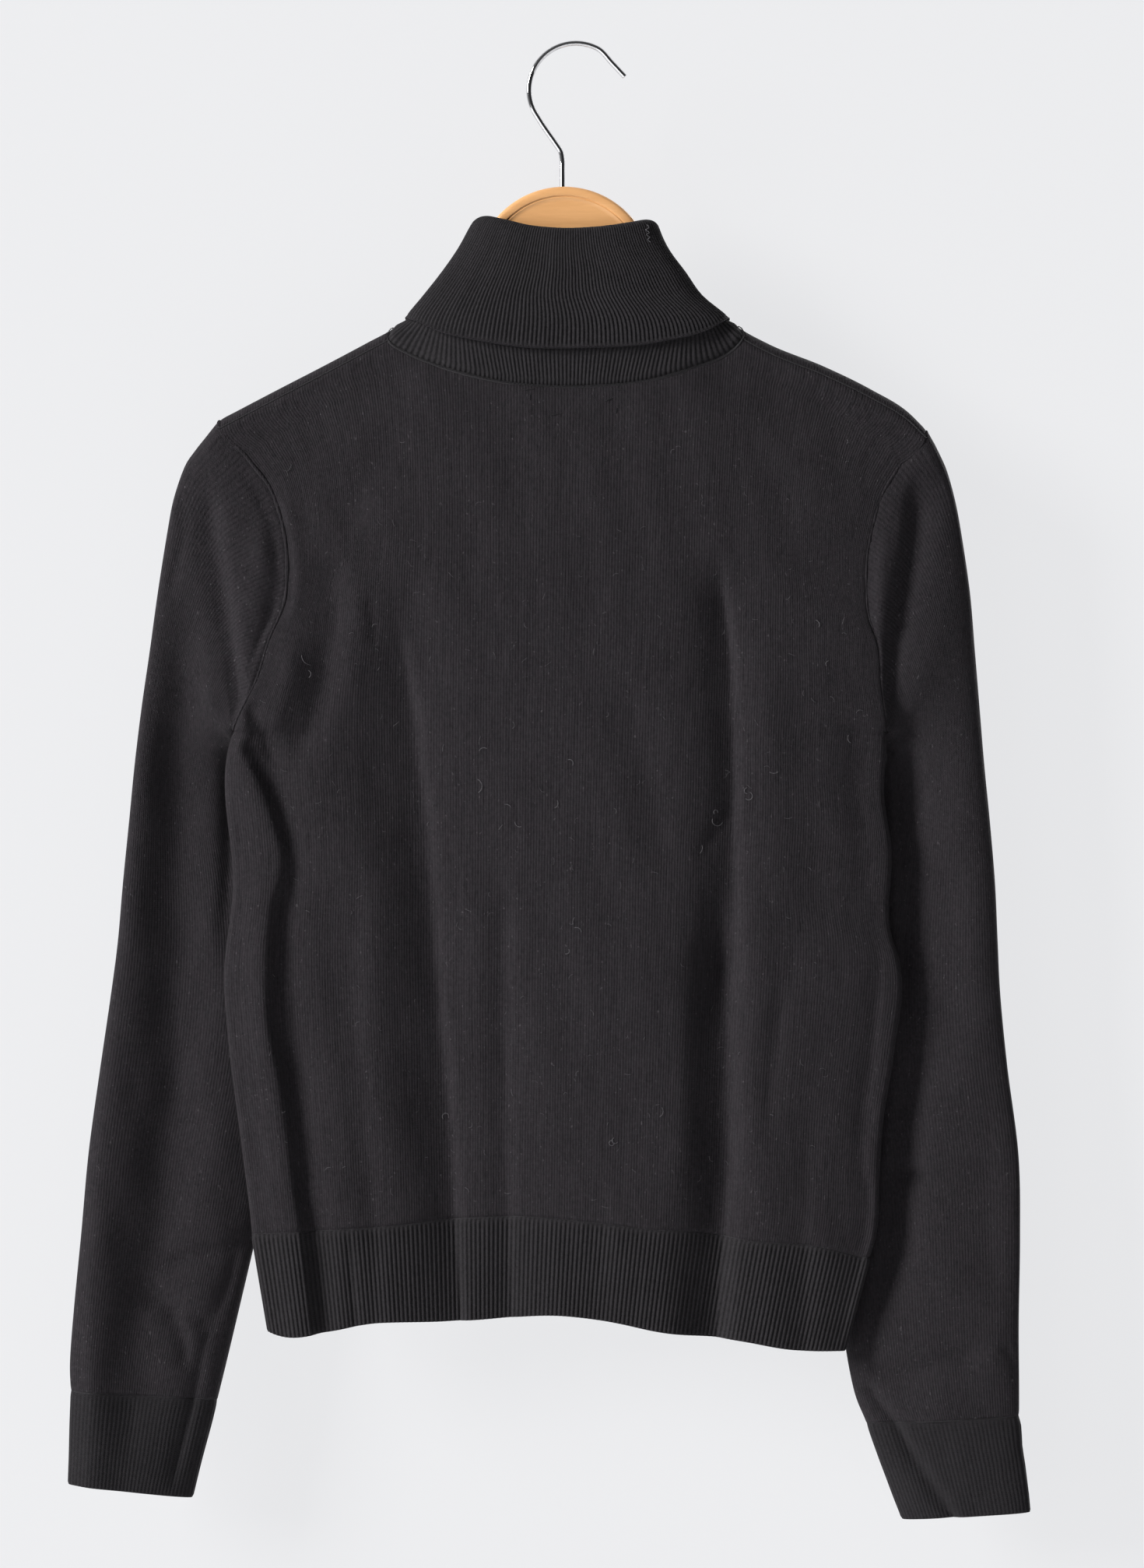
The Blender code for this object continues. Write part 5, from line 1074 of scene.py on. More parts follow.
def collar(neck_seam, neck_angles, material):
    """The rib collar: it stands up from the neck seam, folds over and turns down outside."""
    angles = collar_angles()
    fold_z = smooth(angles, COLLAR_HEIGHTS["angle"], COLLAR_HEIGHTS["fold_z"])
    edge_z = smooth(angles, COLLAR_HEIGHTS["angle"], COLLAR_HEIGHTS["edge_z"])
    edge_z = edge_z + 0.5 * soft_noise(angles, 0 * angles, 46, 61)
    fold_z = fold_z + 0.35 * soft_noise(angles, 0 * angles, 60, 62)
    stand = RIB_WALL + COLLAR_SPACE
    inside = stand + RIB_WALL - RIB_RISE
    seam = np.stack([np.interp(angles, neck_angles, neck_seam[:, axis]) for axis in range(3)], -1)
    inward, upward = neck_inward(angles), neck_upward(angles)
    lifted = SEAM_GAP * (1.0 + 1.2 * np.abs(np.cos(np.radians(angles))) ** 6)
    seam = seam + upward * lifted[:, None]
    profile = rib_profile(np.arange(len(angles)) / RIB_POINTS)
    wave = 0.35 * soft_noise(angles, 0 * angles, 40, 63)
    rows, across_rows = [], []

    def add(height, inset, rib, down):
        """One line round the collar; rib is how much the ribs rise there, down its place along the cloth."""
        rows.append(collar_face(angles, height, inset - RIB_RISE * rib * profile))
        across_rows.append(down + 0 * angles)

    rows.append(seam - inward * (RIB_RISE * 0.4 * profile - 0.5)[:, None])
    across_rows.append(0 * angles)
    first = seam + upward * 2.0
    target = collar_face(angles, np.maximum(edge_z + 1.0, seam[:, 2] + 4.0), stand)
    for step in (0.12, 0.25, 0.45, 0.7):
        base = first + (target - first) * step
        rows.append(base - inward * (RIB_RISE * 0.8 * profile)[:, None])
        across_rows.append(8.0 * step + 0 * angles)
    low = np.maximum(edge_z + 1.5, seam[:, 2] + 4.5)
    for step in np.linspace(0, 1, 7):
        add(low + (fold_z - 6.0 - low) * step, stand, 0.6 * (1 - step), 10 + 45 * step)
    for turn in (20, 50, 90, 130, 160):
        lean = math.radians(turn)
        add(fold_z - 6.0 + 1.4 * math.sin(lean), RIB_WALL + COLLAR_SPACE / 2 * (1 + math.cos(lean)), 0.0, 56)
    for step in np.linspace(0, 1, 7):
        add(fold_z - 6.0 + (edge_z + 0.7 - fold_z + 6.0) * step, RIB_WALL, 0.0, 57 + 40 * step)
    for number, (rise, inset, rib) in enumerate((
            (0.1, RIB_WALL - 0.5, 0.0), (-0.25, RIB_WALL / 2, 0.1), (0.0, 0.35, 0.25), (0.4, -0.05, 0.3),
            (1.0, -0.22, 0.3), (1.6, -0.12, 0.35), (BIND_OFF, 0.12, 0.7), (BIND_OFF + 0.7, 0.02, 1.0))):
        add(edge_z + rise, inset, rib, 98 + number)
    face_low = edge_z + BIND_OFF + 2.0
    for step in np.linspace(0, 1, 16):
        hollow = wave * math.sin(math.pi * step)
        add(face_low + (fold_z - 3.6 - face_low) * step, hollow, 1.0 - 0.5 * ease(step), 106 + 42 * step)
    for turn in range(18, 180, 18):
        lean = math.radians(turn)
        add(fold_z - 3.0 + 3.0 * math.sin(lean), inside / 2 * (1 - math.cos(lean)), 0.5, 150 + turn / 18)
    for step in np.linspace(0, 1, 9):
        add(fold_z - 4.0 + (low - fold_z + 4.0) * step, inside, 0.9 - 0.5 * step, 160 + 40 * step)
    rows.append(seam + upward * 1.6 + inward * (RIB_WALL - RIB_RISE))
    across_rows.append(210 + 0 * angles)
    grid = np.array(rows)
    total, columns = grid.shape[:2]
    quads, at = grid_faces(total + 1, columns, True, 0, False)
    quads = quads % (total * columns)
    down = np.array(across_rows + [across_rows[0] + 215])
    wide = np.concatenate([down, down[:, :1]], axis=1)
    ribs = np.broadcast_to(np.arange(columns + 1) / RIB_POINTS, wide.shape)
    place = np.stack([ribs, wide], -1).reshape(-1, 2)
    piece = make_mesh("collar_rib", grid.reshape(-1, 3), quads, place[at], material)
    return face_outwards(piece), angles, edge_z


# ---------------------------------------------------------------- tubes for wire, yarn and stitches
def tube_points(line, radius, sides):
    """Rings of points round a line; the radius may differ along it."""
    line = np.asarray(line, float)
    along = unit(np.gradient(line, axis=0))
    helper = np.where(np.abs(along[:, 1:2]) > 0.9, np.array([[1.0, 0, 0]]), np.array([[0, 1.0, 0]]))
    first = unit(np.cross(along, helper))
    second = np.cross(along, first)
    turn = np.linspace(0, 2 * math.pi, sides, endpoint=False)[:, None, None]
    radius = np.broadcast_to(radius, len(line))[:, None]
    rings = line + radius * (np.cos(turn) * first + np.sin(turn) * second)
    return rings.transpose(1, 0, 2)


def many_tubes(name, lines, radii, sides, material):
    """One object of many short closed tubes, such as stitches or fibres."""
    points, quads, first = [], [], 0
    for line, radius in zip(lines, radii):
        rings = tube_points(line, radius, sides)
        count = len(rings)
        faces, _ = grid_faces(count, sides, True, first, False)
        points.append(rings.reshape(-1, 3))
        quads.append(faces)
        first += count * sides
    points, quads = np.concatenate(points), np.concatenate(quads)
    return make_mesh(name, points, quads, points[quads][..., [0, 2]], material)


def chain_line(path, normals, pitch, height, width):
    """Lines of chain stitches along a path: one small arch each."""
    path = np.asarray(path, float)
    reached = reached_along(path)
    count = max(2, int(reached[-1] / pitch))
    along = np.linspace(0, reached[-1], count + 1)
    lines = []
    share = np.linspace(0, 1, 5)
    for start, end in zip(along[:-1], along[1:]):
        at = start - 0.15 * pitch + share * (end - start + 0.3 * pitch)
        at = np.clip(at, 0, reached[-1])
        base = np.stack([np.interp(at, reached, path[:, axis]) for axis in range(3)], -1)
        out = np.stack([np.interp(at, reached, normals[:, axis]) for axis in range(3)], -1)
        ahead = base[-1] - base[0]
        sideways = unit(np.cross(ahead, out[2]))
        arch = np.sin(math.pi * share)[:, None]
        lean = (share - 0.5)[:, None] * width
        lines.append(base - out * (height * arch) + sideways * lean)
    return lines


# ---------------------------------------------------------------- hanger and hook
def hanger_outline():
    """A smooth, dense outline of the hanger, running clockwise from the head's left flank."""
    centre_x, centre_z = HEAD_CENTRE
    turns = np.radians(np.linspace(184, -4, 96))
    head = np.stack([centre_x + HEAD_RADIUS * np.cos(turns), centre_z + HEAD_RADIUS * np.sin(turns)], -1)
    half = np.stack([HANGER_HALF["x"], HANGER_HALF["z"]], -1)
    right = np.concatenate([head[-1:], half, [[centre_x, half[-1, 1] + 0.6]]])
    right = path_through(right, 200)[1:-1]
    left = np.stack([2 * centre_x - right[::-1, 0], right[::-1, 1]], -1)
    return np.concatenate([head, right, left])


HANGER_STEPS = (         # how far in from the outline, and how far out from the middle plane
    (0.0, 0.0), (0.0, 3.9), (0.25, 4.9), (0.8, 5.55), (1.6, 5.9), (2.4, 6.0), (4.6, 6.0), (5.0, 5.85),
    (5.2, 5.3), (5.45, 5.2), (5.7, 5.45), (6.0, 5.5), (6.4, 5.35), (7.0, 5.1), (8.2, 5.0))


def hanger(material):
    """The moulded hanger: a rounded rim, a fine line and a recessed panel on both faces."""
    outline = hanger_outline()
    ahead = unit(np.roll(outline, -2, axis=0) - np.roll(outline, 2, axis=0))
    into = np.stack([ahead[:, 1], -ahead[:, 0]], -1)
    middle = np.array([HEAD_CENTRE[0], -165.0])
    if np.sum((middle - outline)[10] * into[10]) < 0:
        into = -into
    rows = []
    for inset, out in [(a, -b) for a, b in HANGER_STEPS[::-1]] + list(HANGER_STEPS[1:]):
        place = outline + into * inset
        rows.append(np.stack([place[:, 0], np.full(len(place), out), place[:, 1]], -1))
    grid = np.array(rows)
    count = grid.shape[1]
    quads, _ = grid_faces(len(rows), count, True, 0, False)
    points = grid.reshape(-1, 3)
    places = points[quads][..., [0, 2]]
    last = (len(rows) - 1) * count
    return face_outwards(make_mesh("hanger_body", points, quads, places, material),
                         (range(count), range(last, last + count)), triangles=True)


WIRE_SIDES = 24


def hook_line():
    """Centre line of the hook, from its tip over the crown and down into the hanger's head."""
    centre_x, centre_z = HOOK_CENTRE
    turns = np.radians(np.arange(HOOK_RIGHT_END_ANGLE, HOOK_LEFT_END_ANGLE + 0.1, 4.0))
    arc = np.stack([centre_x + HOOK_RADIUS * np.cos(turns), centre_z + HOOK_RADIUS * np.sin(turns)], -1)
    leave_x, leave_z = arc[-1]
    neck = [(leave_x + (SHANK_X - leave_x) * 0.22, leave_z + (SHANK_TOP_Z - leave_z) * 0.24),
            (leave_x + (SHANK_X - leave_x) * 0.45, leave_z + (SHANK_TOP_Z - leave_z) * 0.47),
            (SHANK_X - 3.1, SHANK_TOP_Z + 4.2), (SHANK_X - 1.0, SHANK_TOP_Z + 0.9),
            (SHANK_X - 0.1, SHANK_TOP_Z - 3.4), (SHANK_X, SHANK_TOP_Z - 9.0),
            (SHANK_X, SHANK_BOTTOM_Z + 10), (SHANK_X, SHANK_BOTTOM_Z)]
    flat = np.concatenate([[HOOK_TIP], [((HOOK_TIP[0] + arc[0, 0]) / 2 + 0.2, (HOOK_TIP[1] + arc[0, 1]) / 2)],
                           arc, neck])
    flat = path_through(flat, 260)
    return np.stack([flat[:, 0], 0 * flat[:, 0], flat[:, 1]], -1)


def hook(material):
    """The bent wire hook, cut square at its tip."""
    line = hook_line()
    ahead = unit(line[1] - line[0])
    ends = np.array([line[0] + ahead * 0.001, line[0] + ahead * 0.10, line[0] + ahead * 0.3])
    line = np.concatenate([ends, line[1:]])
    radius = np.full(len(line), WIRE_DIAMETER / 2)
    radius[:3] = WIRE_DIAMETER / 2 - np.array([0.28, 0.1, 0.0])
    rings = tube_points(line, radius, WIRE_SIDES)
    quads, _ = grid_faces(len(rings), WIRE_SIDES, True, 0, False)
    points = rings.reshape(-1, 3)
    reached = reached_along(line)
    places = np.stack([quads % WIRE_SIDES / WIRE_SIDES, reached[quads // WIRE_SIDES]], -1)
    last = (len(rings) - 1) * WIRE_SIDES
    return face_outwards(make_mesh("hook_wire", points, quads, places, material),
                         (range(WIRE_SIDES), range(last, last + WIRE_SIDES)))


# ---------------------------------------------------------------- materials
class Nodes:
    """New nodes of one tree: inputs are numbers, colours or sockets, and each call gives back a socket."""

    def __init__(self, tree):
        self.tree = tree
        self.shader = tree.nodes.get("Principled BSDF")

    def put(self, inputs, values):
        """Link or set inputs by number or name; a colour is a triple."""
        for key, value in values.items():
            if isinstance(value, bpy.types.NodeSocket):
                self.tree.links.new(value, inputs[key])
            else:
                inputs[key].default_value = (*value, 1) if inputs[key].type == "RGBA" else value

    def node(self, kind, values, output=0, **settings):
        """One output of a new shader node of this kind."""
        made = self.tree.nodes.new("ShaderNode" + kind)
        for name, value in settings.items():
            setattr(made, name, value)
        self.put(made.inputs, values)
        return made.outputs[output]

    def math(self, operation, *values, clamp=False):
        """The result of one operation on values or sockets."""
        return self.node("Math", dict(enumerate(values)), operation=operation, use_clamp=clamp)

    def total(self, *terms):
        """Sum of sockets, each times its weight."""
        parts = [self.math("MULTIPLY", socket, weight) for socket, weight in terms]
        made = parts[0]
        for part in parts[1:]:
            made = self.math("ADD", made, part)
        return made

    def clipped(self, value, factor, shift):
        """value * factor + shift, held between 0 and 1."""
        return self.math("MULTIPLY_ADD", value, factor, shift, clamp=True)

    def wave(self, value, half):
        """Rise from 0 to 1 and back over twice `half`."""
        return self.math("DIVIDE", self.math("PINGPONG", value, half), half)

    def noise(self, vector, scale, detail=2.0, roughness=0.5, stretch=(1, 1, 1)):
        """A noise texture over a stretched vector."""
        mapped = self.node("Mapping", {"Vector": vector, "Scale": stretch})
        return self.node("TexNoise", {"Vector": mapped, "Scale": scale, "Detail": detail,
                                      "Roughness": roughness}, "Fac")

    def mix(self, share, first, second):
        """A mix of two colours."""
        return self.node("Mix", {0: share, 6: first, 7: second}, 2, data_type="RGBA")

    def bump(self, height, distance, strength, **below):
        """A bump from a height; distance is in metres."""
        return self.node("Bump", {"Height": height, "Distance": distance, "Strength": strength, **below})

    def flat(self):
        """The knit's own coordinates."""
        return self.node("UVMap", {}, uv_map="cloth")

    def part(self, vector, axis):
        """One coordinate of a vector."""
        return self.node("SeparateXYZ", {0: vector}, axis)

    def solid(self):
        """The piece's coordinates in metres."""
        return self.node("TexCoord", {}, "Object")

    def looks(self, **values):
        """Set the shader's inputs; an underscore stands for a space in a name."""
        self.put(self.shader.inputs, {name.replace("_", " "): value for name, value in values.items()})


def new_material(name):
    """A material and its nodes."""
    material = bpy.data.materials.new(name)
    material.use_nodes = True
    return material, Nodes(material.node_tree)


WALE = 1.5               # width of a column of knit stitches
COURSE = 1.1             # height of a stitch
SHEEN_TINT = (0.55, 0.53, 0.56)
RIB_SHEEN_TINT = (0.55, 0.54, 0.56)


def wool_looks(nodes, colour, tint, normal):
    """What all of the garment's knits share: matt wool with a trace of sheen."""
    nodes.looks(Base_Color=colour, Roughness=0.94, Specular_IOR_Level=0.10, Sheen_Weight=0.05,
                Sheen_Roughness=0.5, Sheen_Tint=tint, Normal=normal)


def jersey_material(name, dark, light, streaky):
    """Fine plain knit in a soft wool: columns of V stitches with painted shade between their loops, streaks,
    heathered nap and light flecks.
    """
    material, nodes = new_material(name)
    flat, solid = nodes.flat(), nodes.solid()
    u, v = nodes.part(flat, 0), nodes.part(flat, 1)
    wander = nodes.noise(flat, 0.05, 2.0, 0.5, (1, 0.3, 1))
    u = nodes.math("ADD", u, nodes.math("MULTIPLY", wander, 1.2))
    wale = nodes.wave(u, WALE / 2)
    stitch = nodes.wave(nodes.math("ADD", v, nodes.math("MULTIPLY", wale, 0.8 * COURSE)), COURSE / 2)
    loops = nodes.math("MULTIPLY", nodes.math("POWER", wale, 0.6),
                       nodes.math("MULTIPLY_ADD", stitch, 0.45, 0.55))
    wool = nodes.noise(solid, 2200.0, 3.0, 0.7)
    nap = nodes.noise(solid, 620.0, 3.0, 0.7, (1.15, 1, 0.75))
    streak = nodes.noise(flat, 0.62, 3.0, 0.65, (1, 0.05, 1))
    cloud = nodes.noise(solid, 34.0, 3.0, 0.6)
    # Colour: the loop term paints shade into the hollows between the stitches; streak, cloud, nap and wool
    # are the yarn's own uneven tone.
    share = nodes.total((streak, streaky), (loops, 0.26), (cloud, 0.22), (nap, 1.25), (wool, 0.5))
    middle = 0.5 * (streaky + 0.22 + 1.25 + 0.5) + 0.15
    colour = nodes.mix(nodes.clipped(share, 1.25, 0.5 - 1.25 * middle), dark, light)
    hue = nodes.clipped(nodes.noise(solid, 300.0, 3.0, 0.7), 5.0, -2.0)
    colour = nodes.mix(nodes.math("MULTIPLY", hue, 0.16), colour, (0.032, 0.024, 0.029))
    fleck = nodes.clipped(nodes.noise(solid, 760.0, 1.0, 0.5, (1, 1, 0.7)), 14.0, -9.9)
    colour = nodes.mix(nodes.math("MULTIPLY", fleck, 0.55), colour, (0.085, 0.080, 0.086))
    height = nodes.total((loops, 1.0), (wool, 0.9), (nap, 1.6))
    rough = nodes.bump(cloud, 0.0012, 0.5)
    wool_looks(nodes, colour, SHEEN_TINT, nodes.bump(height, 0.00032, 0.8, Normal=rough))
    return material


def rib_material(name, dark, light, painted_groove_shade):
    """Rib knit: ridges painted lighter and grooves painted darker as shade, and the stitches' slant along
    each ridge.
    """
    material, nodes = new_material(name)
    flat, solid = nodes.flat(), nodes.solid()
    u, v = nodes.part(flat, 0), nodes.part(flat, 1)
    ridge = nodes.wave(u, 0.5)
    stitch = nodes.wave(nodes.math("ADD", v, nodes.math("MULTIPLY", ridge, 0.7)), COURSE / 2)
    wool = nodes.noise(solid, 2600.0, 3.0, 0.7)
    each = nodes.noise(flat, 0.9, 1.0, 0.5, (1, 0.02, 1))
    cloud = nodes.noise(solid, 60.0, 3.0, 0.6)
    fleck = nodes.noise(solid, 700.0, 3.0, 0.7)
    # Colour: the ridge term, weighted by the last argument, paints light on the ridges and shade in the
    # grooves; the other terms are the yarn's own uneven tone.
    share = nodes.total((nodes.math("POWER", ridge, 0.8), painted_groove_shade), (each, 0.35), (cloud, 0.25),
                        (fleck, 0.9))
    middle = 0.56 * painted_groove_shade + 0.5 * (0.35 + 0.25 + 0.9)
    colour = nodes.mix(nodes.clipped(share, 1.2, 0.5 - 1.2 * middle), dark, light)
    height = nodes.total((stitch, 0.5), (wool, 0.9))
    rough = nodes.bump(cloud, 0.0008, 0.4)
    wool_looks(nodes, colour, RIB_SHEEN_TINT, nodes.bump(height, 0.00026, 0.8, Normal=rough))
    return material


def wood_material(name):
    """Pale, satin peach wood with long soft grain and small pores."""
    material, nodes = new_material(name)
    solid = nodes.solid()
    grain = nodes.noise(solid, 60.0, 4.0, 0.6, (0.35, 1, 2.6))
    fine = nodes.noise(solid, 420.0, 3.0, 0.6, (0.12, 1, 1.6))
    pores = nodes.noise(solid, 1500.0, 2.0, 0.5, (0.1, 1, 1))
    share = nodes.clipped(nodes.total((grain, 0.7), (fine, 0.5)), 1.6, -0.45)
    colour = nodes.mix(share, (0.66, 0.330, 0.125), (0.82, 0.450, 0.195))
    dots = nodes.math("MULTIPLY", nodes.clipped(pores, 9.0, -6.0), 0.22)
    nodes.looks(Base_Color=nodes.mix(dots, colour, (0.42, 0.20, 0.085)),
                Roughness=nodes.math("MULTIPLY_ADD", fine, 0.12, 0.34), Specular_IOR_Level=0.45,
                Coat_Weight=0.25, Coat_Roughness=0.22, Normal=nodes.bump(fine, 0.00012, 0.5))
    return material


def chrome_material(name):
    """Plated wire with faint drawing lines and small dull spots."""
    material, nodes = new_material(name)
    lines = nodes.noise(nodes.flat(), 9.0, 3.0, 0.6, (6.0, 0.05, 1))
    dull = nodes.clipped(nodes.noise(nodes.solid(), 800.0, 2.0, 0.6), 1.8, -0.75)
    nodes.looks(Base_Color=nodes.mix(dull, (0.72, 0.72, 0.73), (0.56, 0.56, 0.57)), Metallic=1.0,
                Roughness=nodes.math("MULTIPLY_ADD", lines, 0.08, 0.03),
                Normal=nodes.bump(lines, 0.00004, 0.3))
    return material


def yarn_material(name, dark, light):
    """Twisted yarn of the seams, or loose fibre."""
    material, nodes = new_material(name)
    twist = nodes.noise(nodes.solid(), 1800.0, 2.0, 0.6)
    nodes.looks(Base_Color=nodes.mix(nodes.clipped(twist, 2.4, -0.7), dark, light), Roughness=0.9,
                Specular_IOR_Level=0.2, Normal=nodes.bump(twist, 0.00008, 0.6))
    return material


def stage_material(name, dark, light, glow, one_sided=False):
    """Pale matt paint, evenly lit from within by `glow`; a one-sided wall isn't there from behind."""
    material, nodes = new_material(name)
    cloud = nodes.noise(nodes.solid(), 1.3, 2.0, 0.5)
    nodes.looks(Base_Color=nodes.mix(cloud, dark, light), Emission_Color=(0.975, 0.981, 1.0),
                Emission_Strength=glow, Roughness=0.95, Specular_IOR_Level=0.1)
    if one_sided:
        behind = nodes.node("NewGeometry", {}, "Backfacing")
        clear = nodes.node("BsdfTransparent", {})
        shown = nodes.node("MixShader", {0: behind, 1: nodes.shader.outputs[0], 2: clear})
        nodes.put(nodes.tree.nodes["Material Output"].inputs, {"Surface": shown})
    return material


# ---------------------------------------------------------------- assembly
JERSEY_COLOURS = (0.0098, 0.0090, 0.0103), (0.0302, 0.0275, 0.0309)
jersey = jersey_material("charcoal_jersey", *JERSEY_COLOURS, 0.75)
sleeve_jersey = jersey_material("sleeve_jersey", *JERSEY_COLOURS, 0.30)
# The last number of each rib material sets how much shade is painted into the grooves and light onto the
# ridges.
rib = rib_material("charcoal_rib", (0.0080, 0.0075, 0.0082), (0.0318, 0.0296, 0.0325), 0.50)
cuff_rib = rib_material("cuff_rib", (0.0084, 0.0078, 0.0087), (0.0262, 0.0244, 0.0270), 0.20)
wood = wood_material("light_wood")
chrome = chrome_material("chrome")
yarn = yarn_material("seam_yarn", (0.010, 0.0095, 0.0105), (0.038, 0.036, 0.039))
fibre = yarn_material("loose_fibre", (0.05, 0.048, 0.052), (0.16, 0.155, 0.165))


def dress(piece, node):
    """Let a piece ride on the body and stand for its CAD node."""
    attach(piece, "root")
    if node is not None:
        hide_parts(node)
    return piece


back_panel, back_grid, back_in = panel("back_jersey", -1, jersey)
front_panel, front_grid, front_in = panel("front_jersey", 1, jersey)
dress(back_panel, "back")
dress(front_panel, "front")
hem_back = hem_band("hem_back_rib", -1, back_grid[0], back_in[0], rib)
hem_front = hem_band("hem_front_rib", 1, front_grid[0], front_in[0], rib)
dress(hem_back, "hem_back")
dress(hem_front, "hem_front")
sleeves = {}
for name, side, table, cuff_seam, cuff_edge in (
        ("left", -1, LEFT_SLEEVE, LEFT_CUFF_SEAM, LEFT_CUFF_EDGE),
        ("right", 1, RIGHT_SLEEVE, RIGHT_CUFF_SEAM, RIGHT_CUFF_EDGE)):
    made, grid, inward = sleeve(f"sleeve_{name}_jersey", side, table, cuff_seam, sleeve_jersey)
    dress(made, f"sleeve_{name}")
    band = cuff(f"cuff_{name}_rib", side, grid[-1], inward[-1], cuff_edge, cuff_rib)
    dress(band, f"cuff_{name}")
    sleeves[name] = (made, band, grid, inward)

first = len(SHOULDER_SHARES)
neck_points = np.concatenate([back_grid[-1][first:-first], front_grid[-1][first:-first],
                              [back_grid[-1][first - 1], back_grid[-1][-first]]])
neck_angles = np.concatenate([BACK_NECK, FRONT_NECK, NECK_JUNCTIONS])
neck_angles = (neck_angles - 90) % 360 + 90
order = np.argsort(neck_angles)
neck_angles, neck_points = neck_angles[order], neck_points[order]
neck_angles = np.append(neck_angles, neck_angles[0] + 360)
neck_points = np.vstack([neck_points, neck_points[:1]])
collar_piece, collar_round, collar_edge_z = collar(neck_points, neck_angles, rib)
dress(collar_piece, "collar")
dress(hanger(wood), "hanger")
dress(hook(chrome), "hook")


# ---------------------------------------------------------------- sewing and loose fibres
def back_surface(x, z, out):
    """Points `out` millimetres outside the creased back."""
    x, z = np.asarray(x, float), np.asarray(z, float)
    points = body_point(-1, x, z)
    points[..., 1] += body_sink(-1, points) - out
    return points


def seam_thread(name, path, radius, sides=8, material=yarn):
    """A rolled seam allowance seen as a thread between two sewn edges."""
    dress(many_tubes(name, [np.asarray(path)], [radius], sides, material), None)


for name, side, radius, sunk in (("left", -1, 1.1, 0.45), ("right", 1, 0.85, 0.7)):
    turns = np.linspace(3, 357, 240)
    seam = armhole(side, turns)
    into = square_to(unit(np.gradient(seam, axis=0)))
    middle = np.stack([0 * seam[:, 0], -seam[:, 1], np.where(turns > 150, -9.0, 0.0) * (turns < 215)], -1)
    into = into * np.sign(np.sum(into * middle, axis=1, keepdims=True) + 1e-9)
    thick = radius * (0.72 + 0.33 * ease((turns - 60) / 40) + 0.18 * soft_noise(turns, 0 * turns, 9, 71))
    sunk = sunk + 0.22 * soft_noise(turns, 0 * turns, 13, 72) + 0.55 * ease((turns - 138) / 14)
    sunk = sunk + 0.3 * ease((70 - turns) / 20)
    seam_thread(f"armhole_seam_{name}", seam + into * sunk[:, None], thick, material=jersey)

rng = np.random.default_rng(7)
CURL_POINTS = 10


def curl(x, z, size, turns, start):
    """A loose fibre: a bent thread lying on the back, from a place in millimetres."""
    share = np.linspace(0, 1, CURL_POINTS)
    lean = start + turns * 2 * math.pi * share
    step = size / (CURL_POINTS - 1)
    path = np.cumsum(np.stack([np.cos(lean), np.sin(lean)], -1) * step, axis=0)
    out = 0.25 + 0.5 * np.sin(math.pi * share)
    return back_surface(x + path[:, 0], z + path[:, 1], out)


FIBRES = [               # place on the back, length, share of a whole turn, heading
    (-52, -408, 9, 0.35, 0.4), (-33, -416, 4, 0.2, 2.0), (-31, -423, 5, 0.3, 4.6), (-10, -416, 5, 0.3, 0.2),
    (94, -410, 8, 0.6, 5.2), (96, -408, 5, -0.5, 3.4), (77, -421, 9, 0.5, 4.2), (79, -419, 5, 0.7, 1.0),
    (69, -441, 5, 0.2, 0.6), (-46, -384, 5, 0.3, 2.4), (0, -393, 5, 0.4, 0.9), (107, -396, 5, 0.2, 5.6),
    (-68, -586, 8, 0.7, 0.9), (23, -598, 8, 0.9, 2.0), (25, -597, 6, -0.6, 4.4), (47, -584, 6, 0.3, 0.3),
    (5, -484, 5, 0.3, 1.5), (-4, -495, 4, 0.4, 5.8), (-147, -332, 8, 0.25, 4.6), (-144, -345, 5, 0.4, 0.2),
    (134, -318, 5, 0.3, 1.0), (140, -336, 4, 0.4, 3.0), (151, -376, 5, 0.3, 4.0)]
loose = [curl(*fibre) for fibre in FIBRES]
SCATTERED = 220
scattered = np.stack([rng.uniform(-168, 160, SCATTERED), rng.uniform(-640, -215, SCATTERED)], -1)
loose += [curl(x, z, rng.uniform(1.5, 4.5), rng.uniform(-0.4, 0.4), rng.uniform(0, 6.3))
          for x, z in scattered if edge_x(-1, z) + 12 < x < edge_x(1, z) - 12]
thin = [0.16] * len(FIBRES) + list(rng.uniform(0.05, 0.10, len(loose) - len(FIBRES)))
dress(many_tubes("loose_fibres", loose, thin, 4, fibre), None)

# Plain stitch marks below the back of the neck: place, length and lean.
TACKS = [(-24, -188.5, 6, 0.1), (26, -188.5, 5, -0.1), (20, -194, 5, 0.4), (-9, -202, 6, 0.2),
         (-23, -193, 3, 1.5), (24, -200, 3, 1.4)]
tacks = []
for x, z, size, lean in TACKS:
    share = np.linspace(-0.5, 0.5, 7)
    tacks.append(back_surface(x + size * share * math.cos(lean), z + size * share * math.sin(lean),
                              0.12 + 0.25 * np.cos(math.pi * share)))
dress(many_tubes("tack_stitches", tacks, [0.22] * len(tacks), 5, yarn), None)

neck_ring = neck_points[:-1]
neck_ring = np.vstack([neck_ring, neck_ring[:2]])
neck_in = neck_inward(np.append(neck_angles, neck_angles[1] + 360))
neck_round = path_through(neck_ring, 700)
neck_in_round = path_through(neck_in, 700)
seam_thread("neck_seam", neck_round + neck_in_round * 0.95 + (0, 0, 0.25), 0.75)
chain = chain_line(neck_round + (0, 0, 0.8) + neck_in_round * 0.25, neck_in_round, 1.9, 0.4, 0.7)
dress(many_tubes("neck_chain", chain, [0.22] * len(chain), 5, yarn), None)
bind_off = collar_face(collar_round, collar_edge_z + 0.55, -0.12)
dress(many_tubes("collar_bind_off", [np.vstack([bind_off, bind_off[:1]])], [0.36], 6, jersey), None)
